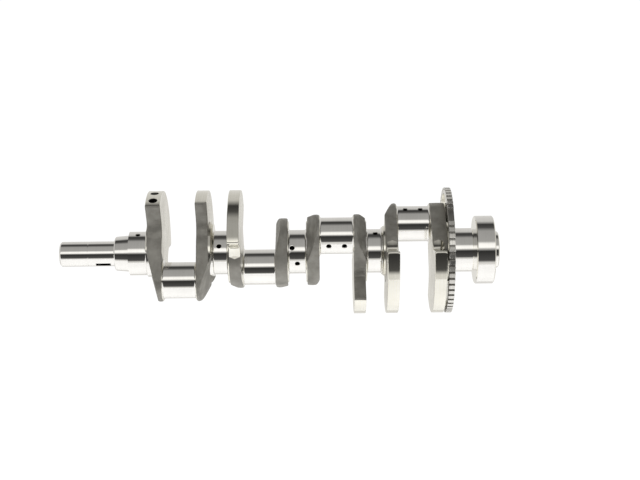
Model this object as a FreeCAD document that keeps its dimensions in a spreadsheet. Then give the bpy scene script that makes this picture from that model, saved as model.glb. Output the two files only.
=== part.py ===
import FreeCAD, Part
import math
import os

import Sketcher

# Cross-plane V8 crankshaft with a toothed trigger wheel and a pilot ball bearing.
#
# The frame: +X runs along the main axis to the rear, +Z is up, and the origin is on that axis at the middle of
# main journal 3. Angles about the main axis are counted from +Z towards -Y. Millimetres and degrees.

SIZES = {
    # along the axis
    "bore_spacing": (115.0, "distance between neighbouring main journals"),
    "main_len": (28.8, "cheek to cheek over main journals 2, 3 and 4"),
    "pin_len": (50.0, "cheek to cheek over a crankpin"),
    "end_cheek_len": (22.5, "thickness of the first and last cheek"),
    "main_first_len": (28.7, "length of main journal 1"),
    "gear_seat_len": (21.6, "length of the tapered gear seat"),
    "snout_len": (81.7, "length of the snout in front of the gear seat"),
    "wheel_seat_len": (7.8, "length of the trigger wheel's seat behind the last cheek"),
    "main_last_len": (30.0, "length of main journal 5"),
    "neck_len": (4.4, "length of the neck before the rear flange"),
    "flange_len": (27.5, "thickness of the rear flange"),
    "hub_len": (7.8, "height of the centring hub on the flange"),
    # the diameters
    "main_dia": (65.0, "main journals"),
    "pin_dia": (53.34, "crankpins"),
    "snout_dia": (37.2, "snout"),
    "gear_seat_dia": (54.1, "gear seat at its rear end"),
    "gear_seat_front_dia": (50.6, "gear seat at its front end"),
    "wheel_seat_dia": (90.0, "trigger wheel's seat"),
    "neck_dia": (62.0, "neck"),
    "flange_dia": (101.0, "rear flange, where the oil seal runs"),
    "hub_dia": (54.0, "centring hub"),
    # the throws
    "throw": (46.0, "crank radius, half the stroke"),
    "clocking": (150.0, "angle of crankpin 1"),
    "nose_radius": (31.2, "outline of a cheek round its crankpin"),
    "waist_radius": (46.0, "outline of a weighted cheek round the main axis"),
    "plain_waist_radius": (50.0, "outline of a plain cheek round the main axis"),
    "nose_rim": (3.6, "what the bevel leaves of the nose's thickness at its tip"),
    "end_nose_rim": (6.5, "the same on the first cheek"),
    "bevel_start": (36.0, "distance from the main axis where the nose's bevel starts"),
    "end_bevel_start": (20.0, "the same on the first cheek"),
    "rear_bevel_start": (43.0, "the same on cheek 7"),
    "heel_bevel": (7.7, "depth of the flat bevel across a plain cheek's heel, on the crankpin side"),
    "heel_start": (20.6, "distance from the main axis where that bevel starts"),
    "heel_turn": (154.0, "direction that it faces, from the crankpin"),
    "boss_dia": (91.0, "turned boss beside a main journal"),
    "boss_height": (1.6, "height of that boss"),
    "inner_boss_height": (5.4, "the same on cheeks 2 and 7"),
    "rear_boss_dia": (74.0, "the boss on cheek 7"),
    "collar_dia": (60.0, "turned collar beside a crankpin"),
    "collar_height": (0.9, "height of that collar"),
    "weight_radius": (92.7, "counterweights"),
    "weight_relief": (0.8, "how far a counterweight stands back from its cheek's main side"),
    "last_weight_relief": (5.2, "the same on the last cheek, clear of the trigger wheel"),
    "flank_fillet": (24.0, "fillet between a counterweight's flank and the waist"),
    "tight_fillet": (6.0, "the same where counterweights 3 and 6 start, beside the crankpin"),
    "rim_chamfer": (0.9, "chamfer round a counterweight's rim"),
    "first_weight_from": (127.0, "where counterweight 1 starts, from its crankpin's direction"),
    "first_weight_span": (126.0, "angle that it covers"),
    "last_weight_from": (120.0, "where counterweight 8 starts"),
    "last_weight_span": (132.0, "angle that it covers"),
    "inner_weight_from": (120.0, "where counterweights 2 and 7 start"),
    "inner_weight_span": (130.0, "angle that they cover"),
    "mid_weight_from": (78.0, "where counterweights 3 and 6 start"),
    "mid_weight_span": (124.0, "angle that they cover"),
    # details
    "fillet": (2.6, "rolled fillet at each journal's ends"),
    "edge_chamfer": (1.4, "small chamfers"),
    "oil_hole_dia": (5.6, "oil drillings"),
    "oil_mouth": (1.1, "countersink at their mouths"),
    "oil_hole_depth": (17.0, "depth of the drillings below the journal's surface"),
    "oil_angle_1": (32.0, "angle of main journal 1's oil drilling"),
    "oil_angle_2": (72.4, "angle of main journal 2's oil drilling"),
    "oil_angle_3": (123.0, "angle of main journal 3's oil drilling"),
    "oil_angle_4": (36.8, "angle of main journal 4's oil drilling"),
    "oil_angle_5": (298.0, "angle of main journal 5's oil drilling"),
    "second_oil_turn": (-43.5, "turn from main journal 3's first oil drilling to its second"),
    "second_oil_shift": (-7.6, "place of that second drilling along the axis"),
    "pin_oil_pitch": (22.6, "distance between a crankpin's two oil drillings"),
    "pin_oil_turn": (66.0, "angle of a crankpin's drillings from its throw"),
    "balance_hole_dia": (12.2, "balance drillings in counterweight 1"),
    "balance_hole_depth": (19.0, "their depth"),
    "balance_mouth": (0.5, "countersink at their mouths"),
    "balance_turn_high": (-131.5, "angle of the higher balance drilling from crankpin 1"),
    "balance_turn_low": (-116.2, "angle of the lower balance drilling from crankpin 1"),
    "gallery_dia": (4.2, "blind cross drilling in the last cheek"),
    "gallery_depth": (14.0, "its depth"),
    "gallery_mouth": (0.4, "countersink at its mouth"),
    "gallery_turn": (62.0, "its angle from crankpin 4, about the main axis"),
    "gallery_back": (3.4, "its distance from the cheek's rear face"),
    "gallery_reach": (50.0, "radius at which it comes out"),
    "key_len": (21.5, "key slot, along the axis"),
    "key_width": (6.4, "key slot"),
    "key_depth": (3.6, "key slot, below the snout's surface"),
    "key_back": (6.7, "distance from the key slot to the gear seat"),
    "key_angle": (150.0, "angle of the key slot"),
    "snout_groove_at": (42.0, "middle of the snout's thin groove, from the front end"),
    "snout_groove_width": (1.2, "that groove"),
    "snout_groove_depth": (0.7, "that groove"),
    "snout_nose_chamfer": (2.4, "chamfer at the snout's front end"),
    "nose_thread_dia": (14.0, "core of the M16 thread in the snout"),
    "nose_thread_depth": (55.0, "its depth"),
    "nose_mouth": (4.0, "countersink at its mouth"),
    "bolt_circle_dia": (79.0, "rear flange's bolt circle"),
    "bolt_count": (6, "flange bolts"),
    "bolt_core_dia": (9.5, "core of the M11 threads in the flange"),
    "bolt_depth": (21.0, "their depth"),
    "bolt_mouth": (1.0, "countersink at their mouths"),
    "bolt_angle": (0.0, "angle of the first bolt"),
    "dowel_dia": (8.0, "flange's locating dowel"),
    "dowel_depth": (14.0, "depth that the dowel is pressed in"),
    "dowel_proud": (5.0, "height that the dowel stands out"),
    "dowel_turn": (-90.0, "angle of the dowel, between two bolts"),
    "neck_groove_width": (1.6, "groove between main journal 5 and the neck"),
    "neck_groove_depth": (1.8, "that groove"),
    "core_dia": (25.4, "drilled core in the rear main journal"),
    "core_depth": (46.0, "how far the core reaches ahead of the pilot bearing's seat"),
    "plug_len": (7.0, "cup plug that closes the core"),
    "plug_wall": (1.2, "its wall"),
    "plug_back": (10.0, "distance from the plug to the pilot bearing's seat"),
    # trigger wheel
    "wheel_dia": (186.0, "over the teeth"),
    "wheel_gap": (3.0, "clear space between the last counterweight and the wheel's rim"),
    "wheel_rim_width": (8.7, "width of the wheel's rim"),
    "wheel_rim_height": (9.0, "height of the rim, teeth included"),
    "wheel_web": (3.4, "thickness of the wheel's disc"),
    "wheel_web_gap": (1.0, "clear space between the last cheek and the wheel's disc"),
    "wheel_hub_wall": (6.0, "wall of the wheel's pressed hub"),
    "tooth_pitch": (6.0, "angle from tooth to tooth"),
    "tooth_gap_at": (56.0, "angle of the middle of the two missing teeth"),
    "tooth_count": (58, "teeth, with room left for two more"),
    "tooth_share": (0.66, "tooth width over tooth pitch"),
    "tooth_height": (3.0, "teeth"),
    # pilot bearing
    "bearing_bore": (15.0, "bore of the inner ring"),
    "bearing_dia": (42.0, "outside of the outer ring"),
    "bearing_width": (13.0, "both rings"),
    "bearing_set_back": (1.5, "how deep the bearing sits in the hub"),
    "race_offset": (0.0, "how far the balls' circle lies outside the middle between bore and outside"),
    "ball_dia": (7.938, "balls"),
    "ball_count": (7, "balls"),
    "ball_play": (0.015, "running clearance of the balls in each raceway"),
    "race_depth": (1.75, "depth of each raceway groove"),
    "ring_chamfer": (0.6, "chamfers of the rings"),
    "cage_height": (2.4, "thickness of the cage, outwards"),
    "cage_gap": (0.3, "clearance of each ball in the cage"),
    "cage_wall": (0.6, "cage beside a ball"),
    "shield_thickness": (0.6, "shields"),
    "shield_gap": (0.3, "clearance between shield and inner ring"),
    "shield_inset": (0.4, "depth of a shield below the rings' faces"),
}

BEYOND = 1.0  # how far a cut runs past the surface that it starts from
WEIGHT_ROOT = 0.55  # how deep a counterweight's sector reaches into the waist, as a share of the waist's radius
LEAST_FLANK = 1.0  # an edge along X is a flank's edge if it is longer than this
SAME_POINT = 0.01  # two places closer than this are one


class Size:
    """A number together with the spreadsheet expression that gives it, so that both come from one sum."""

    def __init__(self, value, text):
        self.value = value
        self.text = text

    def join(self, other, symbol, result, swapped=False):
        """Both sides of an operation, as a new Size."""
        text = other.text if isinstance(other, Size) else repr(float(other))
        left, right = (text, self.text) if swapped else (self.text, text)
        return Size(result, f"({left} {symbol} {right})")

    def __add__(self, other):
        return self.join(other, "+", self.value + number(other))

    def __radd__(self, other):
        return self.join(other, "+", number(other) + self.value, swapped=True)

    def __sub__(self, other):
        return self.join(other, "-", self.value - number(other))

    def __rsub__(self, other):
        return self.join(other, "-", number(other) - self.value, swapped=True)

    def __mul__(self, other):
        return self.join(other, "*", self.value * number(other))

    def __rmul__(self, other):
        return self.join(other, "*", number(other) * self.value, swapped=True)

    def __truediv__(self, other):
        return self.join(other, "/", self.value / number(other))

    def __neg__(self):
        return Size(-self.value, f"(0 - {self.text})")


def number(size):
    """The plain number of a Size or of a number."""
    return size.value if isinstance(size, Size) else float(size)


def sine(angle):
    """Sine of an angle in degrees."""
    return Size(math.sin(math.radians(angle.value)), f"sin({angle.text})")


def cosine(angle):
    """Cosine of an angle in degrees."""
    return Size(math.cos(math.radians(angle.value)), f"cos({angle.text})")


def root(size):
    """Square root."""
    return Size(math.sqrt(size.value), f"sqrt({size.text})")


ZERO = Size(0.0, "0")
FULL_TURN = Size(360.0, "360")
doc = FreeCAD.newDocument("Crankshaft")


def make_sheet():
    """Writes every driving dimension to the spreadsheet and returns them by name."""
    sheet = doc.addObject("Spreadsheet::Sheet", "Sizes")
    named = {}
    for row, (alias, (value, meaning)) in enumerate(SIZES.items(), start=1):
        sheet.set(f"A{row}", meaning)
        sheet.set(f"B{row}", str(value))
        sheet.setAlias(f"B{row}", alias)
        named[alias] = Size(float(value), f"Sizes.{alias}")
    doc.recompute()
    return named


S = make_sheet()


# ---------------------------------------------------------------- helpers


def bind(thing, path, size):
    """Ties a property to its spreadsheet expression."""
    thing.setExpression(path, size.text if isinstance(size, Size) else repr(float(size)))


def place(body, x=ZERO, turn=ZERO, radius=ZERO, radius_turn=ZERO):
    """Puts a body at x along the main axis, turned about it, and radius out from it in the direction radius_turn."""
    body.Placement = FreeCAD.Placement(FreeCAD.Vector(), FreeCAD.Rotation(FreeCAD.Vector(1, 0, 0), 1))
    bind(body, "Placement.Base.x", x)
    bind(body, "Placement.Base.y", -(radius * sine(radius_turn)))
    bind(body, "Placement.Base.z", radius * cosine(radius_turn))
    bind(body, "Placement.Rotation.Angle", turn)


def new_body(label):
    """A PartDesign body whose label names its file."""
    body = doc.addObject("PartDesign::Body", "Body_" + label)
    body.Label = label
    return body


def origin_part(body, role):
    """One of the body's own origin planes or axes."""
    return next(part for part in body.Origin.OriginFeatures if part.Role == role)


def new_sketch(body, role, name, turn=None, x=None):
    """A sketch on one of the body's own origin planes, turned about X or moved along X."""
    sketch = body.newObject("Sketcher::SketchObject", f"{body.Label}_{name}")
    sketch.AttachmentSupport = [(origin_part(body, role), "")]
    sketch.MapMode = "FlatFace"
    if turn is not None:
        sketch.AttachmentOffset = FreeCAD.Placement(FreeCAD.Vector(), FreeCAD.Rotation(FreeCAD.Vector(1, 0, 0), 1))
        bind(sketch, "AttachmentOffset.Rotation.Angle", turn)
    if x is not None:
        bind(sketch, "AttachmentOffset.Base.z", x)
    return sketch


def add_bound(sketch, kind, *target, size):
    """A constraint of the given kind whose value comes from the spreadsheet."""
    sketch.addConstraint(Sketcher.Constraint(kind, *target, number(size)))
    bind(sketch, f"Constraints[{sketch.ConstraintCount - 1}]", size)


def fix_point(sketch, edge, end, x, y):
    """Fixes one end (1 or 2) or the centre (3) of an edge by its two coordinates."""
    add_bound(sketch, "DistanceX", -1, 1, edge, end, size=x)
    add_bound(sketch, "DistanceY", -1, 1, edge, end, size=y)


def add_outline(sketch, corners):
    """A closed outline. A corner is (x, y), or (x, y, radius) when the edge that leaves it is an arc: one that
    bulges to the left of its way for a positive radius, and to the right for a negative one."""
    first = sketch.GeometryCount
    count = len(corners)
    ends = []
    for i, corner in enumerate(corners):
        start = FreeCAD.Vector(number(corner[0]), number(corner[1]), 0)
        after = corners[(i + 1) % count]
        stop = FreeCAD.Vector(number(after[0]), number(after[1]), 0)
        if len(corner) == 2:
            sketch.addGeometry(Part.LineSegment(start, stop), False)
            ends.append((1, 2))
            continue
        radius, side = abs(number(corner[2])), math.copysign(1, number(corner[2]))
        chord = stop - start
        aside = FreeCAD.Vector(-chord.y, chord.x, 0) * (side / chord.Length)
        bulge = radius - math.sqrt(max(radius**2 - chord.Length**2 / 4, 0))
        middle = (start + stop) * 0.5 + aside * bulge
        sketch.addGeometry(Part.Arc(start, middle, stop), False)
        # a sketch's arc runs anticlockwise, so one that bulges to the left is stored from its far end
        ends.append((2, 1) if side > 0 else (1, 2))
    for i in range(count):
        following = (i + 1) % count
        joint = (first + i, ends[i][1], first + following, ends[following][0])
        sketch.addConstraint(Sketcher.Constraint("Coincident", *joint))
        fix_point(sketch, first + i, ends[i][0], corners[i][0], corners[i][1])
        if len(corners[i]) == 3:
            radius = corners[i][2]
            add_bound(sketch, "Radius", first + i, size=radius if number(radius) > 0 else -radius)


def turned(body, kind, name, corners, turn=None, axis=None):
    """A Revolution or Groove of an outline in the X-radius plane, about the main axis or about a line of its own.
    The line is given by two points of the outline's plane."""
    sketch = new_sketch(body, "XZ_Plane", name + "_outline", turn=turn)
    add_outline(sketch, corners)
    if axis is not None:
        line = Part.LineSegment(*(FreeCAD.Vector(number(x), number(y), 0) for x, y in axis))
        edge = sketch.addGeometry(line, True)
        fix_point(sketch, edge, 1, *axis[0])
        fix_point(sketch, edge, 2, *axis[1])
    feature = body.newObject("PartDesign::" + kind, f"{body.Label}_{name}")
    feature.Profile = sketch
    feature.ReferenceAxis = (sketch, ["H_Axis" if axis is None else "Axis0"])
    feature.Angle = 360
    return feature


def drilled(body, name, x, surface, dia, depth, mouth, turn=ZERO):
    """A blind hole towards the main axis: from the radius surface down, in the direction turn, with a countersink."""
    out, wide = surface + BEYOND, dia / 2 + mouth + BEYOND
    corners = [(x, surface - depth), (x + dia / 2, surface - depth), (x + dia / 2, surface - mouth)]
    corners += [(x + wide, out), (x, out)]
    return turned(body, "Groove", name, corners, turn=turn, axis=((x, ZERO), (x, surface)))


def bored(body, name, x, inwards, dia, depth, mouth, height=ZERO, turn=ZERO):
    """A blind hole along X from the face at x, in the direction inwards (1 or -1), at a height above the axis."""
    half = dia / 2
    outer = x - inwards * BEYOND
    corners = [(outer, height), (outer, height + half + mouth + BEYOND), (x + inwards * mouth, height + half)]
    corners += [(x + inwards * depth, height + half), (x + inwards * depth, height)]
    return turned(body, "Groove", name, corners, turn=turn, axis=((ZERO, height), (x + inwards * depth, height)))


def padded(body, sketch, length, name):
    """A pad of a sketch towards +X."""
    pad = body.newObject("PartDesign::Pad", f"{body.Label}_{name}")
    pad.Profile = sketch
    bind(pad, "Length", length)
    return pad


def patterned(body, features, count, angle, name):
    """The same features again round the main axis, evenly over an angle."""
    pattern = body.newObject("PartDesign::PolarPattern", f"{body.Label}_{name}")
    pattern.Originals = features
    pattern.Axis = (origin_part(body, "X_Axis"), [""])
    bind(pattern, "Angle", angle)
    bind(pattern, "Occurrences", count)
    body.Tip = pattern
    return pattern


def towards(turn, radius):
    """The YZ point at a radius in the direction turn."""
    return -(radius * sine(turn)), radius * cosine(turn)


# ---------------------------------------------------------------- places along the axis

HALF_PIN = S["pin_len"] / 2
HALF_MAIN = S["main_len"] / 2
CHEEK_LEN = (S["bore_spacing"] - S["main_len"] - S["pin_len"]) / 2
MAIN_X = {i: S["bore_spacing"] * float(i - 3) for i in (2, 3, 4)}
PIN_X = {i: S["bore_spacing"] * (i - 2.5) for i in (1, 2, 3, 4)}
PIN_TURN = {1: S["clocking"], 2: S["clocking"] + 90, 3: S["clocking"] - 90, 4: S["clocking"] + 180}

FIRST_CHEEK_X = PIN_X[1] - HALF_PIN - S["end_cheek_len"]
MAIN_FIRST_X = FIRST_CHEEK_X - S["main_first_len"]
GEAR_SEAT_X = MAIN_FIRST_X - S["gear_seat_len"]
SNOUT_X = GEAR_SEAT_X - S["snout_len"]
LAST_CHEEK_X = PIN_X[4] + HALF_PIN
WHEEL_SEAT_X = LAST_CHEEK_X + S["end_cheek_len"]
MAIN_LAST_X = WHEEL_SEAT_X + S["wheel_seat_len"]
NECK_X = MAIN_LAST_X + S["main_last_len"]
FLANGE_X = NECK_X + S["neck_len"]
HUB_X = FLANGE_X + S["flange_len"]
REAR_X = HUB_X + S["hub_len"]
BEARING_X = REAR_X - S["bearing_set_back"] - S["bearing_width"]


# ---------------------------------------------------------------- journals


def journal(label, length, dia, flares=(True, True)):
    """A ground cylinder from x = 0 to its length, with a rolled fillet that flares out at the ends that ask for
    one and a square end elsewhere."""
    body = new_body(label)
    radius, flare = dia / 2, S["fillet"]
    corners = [(ZERO, ZERO)]
    if flares[0]:
        corners += [(ZERO, radius + flare, -flare), (flare, radius)]
    else:
        corners += [(ZERO, radius)]
    if flares[1]:
        corners += [(length - flare, radius, -flare), (length, radius + flare)]
    else:
        corners += [(length, radius)]
    corners += [(length, ZERO)]
    turned(body, "Revolution", "body", corners)
    return body


def oil_hole(body, name, x, dia, turn=ZERO):
    """One oil drilling in a journal."""
    drilled(body, name, x, dia / 2, S["oil_hole_dia"], S["oil_hole_depth"], S["oil_mouth"], turn)


def main_journals():
    """The five main journals, each turned so that its first oil drilling is on its own +Z."""
    boss, inner_boss = S["boss_height"], S["inner_boss_height"]
    bosses = {2: (inner_boss, boss), 3: (boss, boss), 4: (boss, inner_boss)}
    spans = {i: (MAIN_X[i] - HALF_MAIN + front, S["main_len"] - front - rear) for i, (front, rear) in bosses.items()}
    spans[1] = (MAIN_FIRST_X, S["main_first_len"] - boss)
    spans[5] = (MAIN_LAST_X, S["main_last_len"])
    for i, (x, length) in sorted(spans.items()):
        body = journal(f"main_journal_{i}", length, S["main_dia"], flares=(i > 1, True))
        oil_hole(body, "oil_hole", (MAIN_X[i] - x) if i in MAIN_X else length / 2, S["main_dia"])
        if i == 3:
            oil_hole(body, "second_oil_hole", length / 2 + S["second_oil_shift"], S["main_dia"], S["second_oil_turn"])
        if i == 5:
            reach = x + length - (BEARING_X - S["core_depth"])
            bored(body, "core", length, -1, S["core_dia"], reach, ZERO)
        place(body, x, turn=S[f"oil_angle_{i}"])


def crankpins():
    """The four crankpins, each turned so that its oil drillings are on its own +Z."""
    length = S["pin_len"] - S["collar_height"] * 2
    for i, x in PIN_X.items():
        body = journal(f"crankpin_{i}", length, S["pin_dia"])
        for name, side in (("front", -0.5), ("rear", 0.5)):
            oil_hole(body, f"{name}_oil_hole", length / 2 + S["pin_oil_pitch"] * side, S["pin_dia"])
        place(body, x - length / 2, PIN_TURN[i] + S["pin_oil_turn"], S["throw"], PIN_TURN[i])


# ---------------------------------------------------------------- front end


def snout():
    """The damper's seat: chamfered, with a thin groove, a key slot and the damper bolt's threaded hole."""
    body = new_body("snout")
    length, radius, chamfer = S["snout_len"], S["snout_dia"] / 2, S["snout_nose_chamfer"]
    groove_at, half_groove = S["snout_groove_at"], S["snout_groove_width"] / 2
    floor = radius - S["snout_groove_depth"]
    corners = [(ZERO, ZERO), (ZERO, radius - chamfer), (chamfer, radius), (groove_at - half_groove, radius)]
    corners += [(groove_at - half_groove, floor), (groove_at + half_groove, floor), (groove_at + half_groove, radius)]
    corners += [(length, radius), (length, ZERO)]
    turned(body, "Revolution", "body", corners)
    bored(body, "thread", ZERO, 1, S["nose_thread_dia"], S["nose_thread_depth"], S["nose_mouth"])
    slot = new_sketch(body, "XY_Plane", "key_slot_outline", x=radius - S["key_depth"])
    rear = length - S["key_back"]
    half, front = S["key_width"] / 2, rear - S["key_len"]
    add_outline(slot, [(front, half), (rear, half), (rear, -half), (front, -half)])
    pocket = body.newObject("PartDesign::Pocket", "snout_key_slot")
    pocket.Profile = slot
    pocket.Reversed = True
    bind(pocket, "Length", S["key_depth"] + BEYOND)
    place(body, SNOUT_X, turn=S["key_angle"])


def gear_seat():
    """The tapered seat of the timing gear."""
    body = new_body("gear_seat")
    length, chamfer = S["gear_seat_len"], S["edge_chamfer"]
    front, rear = S["gear_seat_front_dia"] / 2, S["gear_seat_dia"] / 2
    corners = [(ZERO, ZERO), (ZERO, front - chamfer), (chamfer, front), (length, rear), (length, ZERO)]
    turned(body, "Revolution", "body", corners)
    place(body, GEAR_SEAT_X)


# ---------------------------------------------------------------- cheeks


def cheek_outline(sketch, waist):
    """A crankpin arc and a main axis arc joined by two tangent lines, with the crankpin towards +Z."""
    nose, throw = S["nose_radius"], S["throw"]
    rise = (waist - nose).value / throw.value
    level = math.sqrt(1 - rise**2)
    ring = FreeCAD.Vector(0, 0, 1)
    tilt = math.asin(rise)
    upper = FreeCAD.Vector(0, throw.value, 0)
    arcs = [Part.Circle(upper, ring, nose.value), Part.Circle(FreeCAD.Vector(), ring, waist.value)]
    sketch.addGeometry(Part.ArcOfCircle(arcs[0], tilt, math.pi - tilt), False)
    sketch.addGeometry(Part.ArcOfCircle(arcs[1], math.pi - tilt, 2 * math.pi + tilt), False)
    for side in (-1, 1):
        away = FreeCAD.Vector(side * level, rise, 0)
        sketch.addGeometry(Part.LineSegment(upper + away * nose.value, away * waist.value), False)
    for arc, arc_end, line, line_end in ((0, 2, 2, 1), (1, 1, 2, 2), (1, 2, 3, 2), (0, 1, 3, 1)):
        sketch.addConstraint(Sketcher.Constraint("Tangent", arc, arc_end, line, line_end))
    fix_point(sketch, 0, 3, ZERO, throw)
    fix_point(sketch, 1, 3, ZERO, ZERO)
    add_bound(sketch, "Radius", 0, size=nose)
    add_bound(sketch, "Radius", 1, size=waist)


def weight_outline(sketch, start, span, waist):
    """A ring sector that starts at an angle from the crankpin and reaches into the waist."""
    root_radius = waist * WEIGHT_ROOT
    stop = start + span
    corners = [(*towards(start, S["weight_radius"]), -S["weight_radius"])]
    corners += [towards(stop, S["weight_radius"]), towards(stop, root_radius), towards(start, root_radius)]
    add_outline(sketch, corners)


def flank_edges(shape, turn, waist):
    """Names of the edges along X where the flank of a counterweight in the direction turn meets the waist."""
    y, z = (number(v) for v in towards(turn, waist))
    names = []
    for i, edge in enumerate(shape.Edges, start=1):
        ends = [vertex.Point for vertex in edge.Vertexes]
        along = len(ends) == 2 and abs(ends[0].x - ends[1].x) > LEAST_FLANK
        if along and all(math.hypot(point.y - y, point.z - z) < SAME_POINT for point in ends):
            names.append(f"Edge{i}")
    return names


def add_weight(body, length, main_side, waist, start, span, relief, start_fillet):
    """The counterweight, which stands back from the main side by the relief, and the fillets of its flanks."""
    sector = new_sketch(body, "YZ_Plane", "weight_outline", x=relief if main_side < 0 else ZERO)
    weight_outline(sector, start, span, waist)
    feature = padded(body, sector, length - relief, "weight")
    for name, turn, radius in (("start", start, start_fillet), ("end", start + span, S["flank_fillet"])):
        doc.recompute()
        fillet = body.newObject("PartDesign::Fillet", f"{body.Label}_{name}_flank")
        fillet.Base = (feature, flank_edges(feature.Shape, turn, waist))
        bind(fillet, "Radius", radius)
        feature = fillet


def from_side(below, length, side):
    """The x of a point by its depth below the cheek's side at x = 0 (side -1) or at its length (side 1)."""
    return below if side < 0 else length - below


def add_bevel(body, name, length, side, start, tip, depth, turn=ZERO):
    """A flat bevel that faces the direction turn. On the cheek's side at x = 0 (side -1) or at its length (side 1),
    it starts at one distance from the main axis and reaches its depth at another, tip."""
    lean = (tip - start) / depth
    outside = BEYOND + S["inner_boss_height"]
    corners = [(-outside, start - lean * outside), (depth + BEYOND, tip + lean * BEYOND)]
    corners += [(-outside, tip + lean * BEYOND)]
    sketch = new_sketch(body, "XZ_Plane", name + "_outline", turn=turn)
    add_outline(sketch, [(from_side(below, length, side), height) for below, height in corners])
    pocket = body.newObject("PartDesign::Pocket", f"{body.Label}_{name}")
    pocket.Profile = sketch
    pocket.Midplane = True
    pocket.Type = "ThroughAll"


def ring(body, name, x, outwards, dia, height):
    """A turned ring face: a flat disc with a chamfered edge that stands out of the cheek's side at x."""
    radius, chamfer = dia / 2, height / 2
    corners = [(x - outwards * BEYOND, ZERO), (x - outwards * BEYOND, radius), (x + outwards * chamfer, radius)]
    corners += [(x + outwards * height, radius - chamfer), (x + outwards * height, ZERO)]
    return turned(body, "Revolution", name, corners)


def add_collar(body, length, main_side):
    """The turned collar on the crankpin side, round the crankpin's own axis."""
    outwards = -main_side
    x = length if outwards > 0 else ZERO
    radius, chamfer, centre = S["collar_dia"] / 2, S["collar_height"] / 2, S["throw"]
    corners = [(x - outwards * BEYOND, centre), (x - outwards * BEYOND, centre + radius)]
    corners += [(x + outwards * chamfer, centre + radius)]
    corners += [(x + outwards * S["collar_height"], centre + radius - chamfer)]
    corners += [(x + outwards * S["collar_height"], centre)]
    turned(body, "Revolution", "collar", corners, axis=((ZERO, centre), (length, centre)))


def add_journal_root(body, length, main_side, height):
    """The end of the main journal, carried down through the boss to where the nose's bevel leaves the cheek."""
    radius = S["main_dia"] / 2 + S["fillet"]
    below, above = from_side(length / 2, length, main_side), from_side(-height, length, main_side)
    corners = [(below, ZERO), (below, radius), (above, radius), (above, ZERO)]
    turned(body, "Revolution", "journal_root", corners)


def add_rim_chamfers(body, length, main_side, relief):
    """The chamfers along both edges of a counterweight's rim."""
    radius, chamfer = S["weight_radius"], S["rim_chamfer"]
    out = radius + BEYOND
    for name, depth, inwards in (("main", relief, 1), ("pin", length, -1)):
        corners = [(depth - inwards * BEYOND, out), (depth - inwards * BEYOND, radius - chamfer - BEYOND)]
        corners += [(depth + inwards * (chamfer + BEYOND), out)]
        outline = [(from_side(x, length, main_side), height) for x, height in corners]
        turned(body, "Groove", f"{name}_rim_chamfer", outline)


def add_balance_holes(body, x):
    """The two drillings that balance the front counterweight."""
    dia, depth, mouth = S["balance_hole_dia"], S["balance_hole_depth"], S["balance_mouth"]
    for name in ("high", "low"):
        drilled(body, f"{name}_balance_hole", x, S["weight_radius"], dia, depth, mouth, S[f"balance_turn_{name}"])


def cheeks():
    """The eight cheeks. Cheeks 1, 3, 5 and 7 stand in front of their crankpin, and the others behind it."""
    spans = {1: "first_weight", 8: "last_weight", 2: "inner_weight", 7: "inner_weight", 3: "mid_weight", 6: "mid_weight"}
    for i in range(1, 9):
        pin = (i + 1) // 2
        main_side = -1 if i % 2 else 1
        is_end, is_plain = i in (1, 8), i in (4, 5)
        length = S["end_cheek_len"] if is_end else CHEEK_LEN
        waist = S["plain_waist_radius"] if is_plain else S["waist_radius"]
        x = PIN_X[pin] - HALF_PIN - length if main_side < 0 else PIN_X[pin] + HALF_PIN
        relief = S["last_weight_relief"] if i == 8 else S["weight_relief"]
        boss_height = S["inner_boss_height"] if i in (2, 7) else S["boss_height"]
        body = new_body(f"cheek_{i}" if is_plain else f"counterweight_{i}")
        outline = new_sketch(body, "YZ_Plane", "cheek_outline")
        cheek_outline(outline, waist)
        padded(body, outline, length, "cheek")
        if not is_plain:
            start, span = S[f"{spans[i]}_from"], S[f"{spans[i]}_span"]
            start_fillet = S["tight_fillet"] if i in (3, 6) else S["flank_fillet"]
            add_weight(body, length, main_side, waist, start, span, relief, start_fillet)
            add_rim_chamfers(body, length, main_side, relief)
        add_collar(body, length, main_side)
        if i == 8:
            ring(body, "wheel_seat", length, 1, S["wheel_seat_dia"], S["wheel_seat_len"])
        else:
            boss_dia = S["rear_boss_dia"] if i == 7 else S["boss_dia"]
            ring(body, "boss", from_side(ZERO, length, main_side), main_side, boss_dia, boss_height)
            starts = {1: S["end_bevel_start"], 7: S["rear_bevel_start"]}
            start, rim = starts.get(i, S["bevel_start"]), S["end_nose_rim"] if i == 1 else S["nose_rim"]
            add_bevel(body, "nose_bevel", length, main_side, start, S["throw"] + S["nose_radius"], length - rim)
            add_journal_root(body, length, main_side, boss_height)
        if is_plain:
            depth, turn = S["heel_bevel"], S["heel_turn"]
            add_bevel(body, "heel_bevel", length, -main_side, S["heel_start"], waist, depth, turn)
        if i == 1:
            add_balance_holes(body, (length + relief) / 2)
        if i == 8:
            dia, depth, mouth = S["gallery_dia"], S["gallery_depth"], S["gallery_mouth"]
            at, reach = length - S["gallery_back"], S["gallery_reach"]
            drilled(body, "gallery", at, reach, dia, depth, mouth, S["gallery_turn"])
        place(body, x, turn=PIN_TURN[pin])


# ---------------------------------------------------------------- rear end


def neck():
    """The neck between main journal 5 and the flange, with a groove at its front end and the core through it."""
    body = new_body("rear_neck")
    length, radius, groove = S["neck_len"], S["neck_dia"] / 2, S["neck_groove_width"]
    floor = radius - S["neck_groove_depth"]
    core = S["core_dia"] / 2
    corners = [(ZERO, core), (ZERO, floor), (groove, floor), (groove, radius), (length, radius), (length, core)]
    turned(body, "Revolution", "body", corners)
    place(body, NECK_X)


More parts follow.
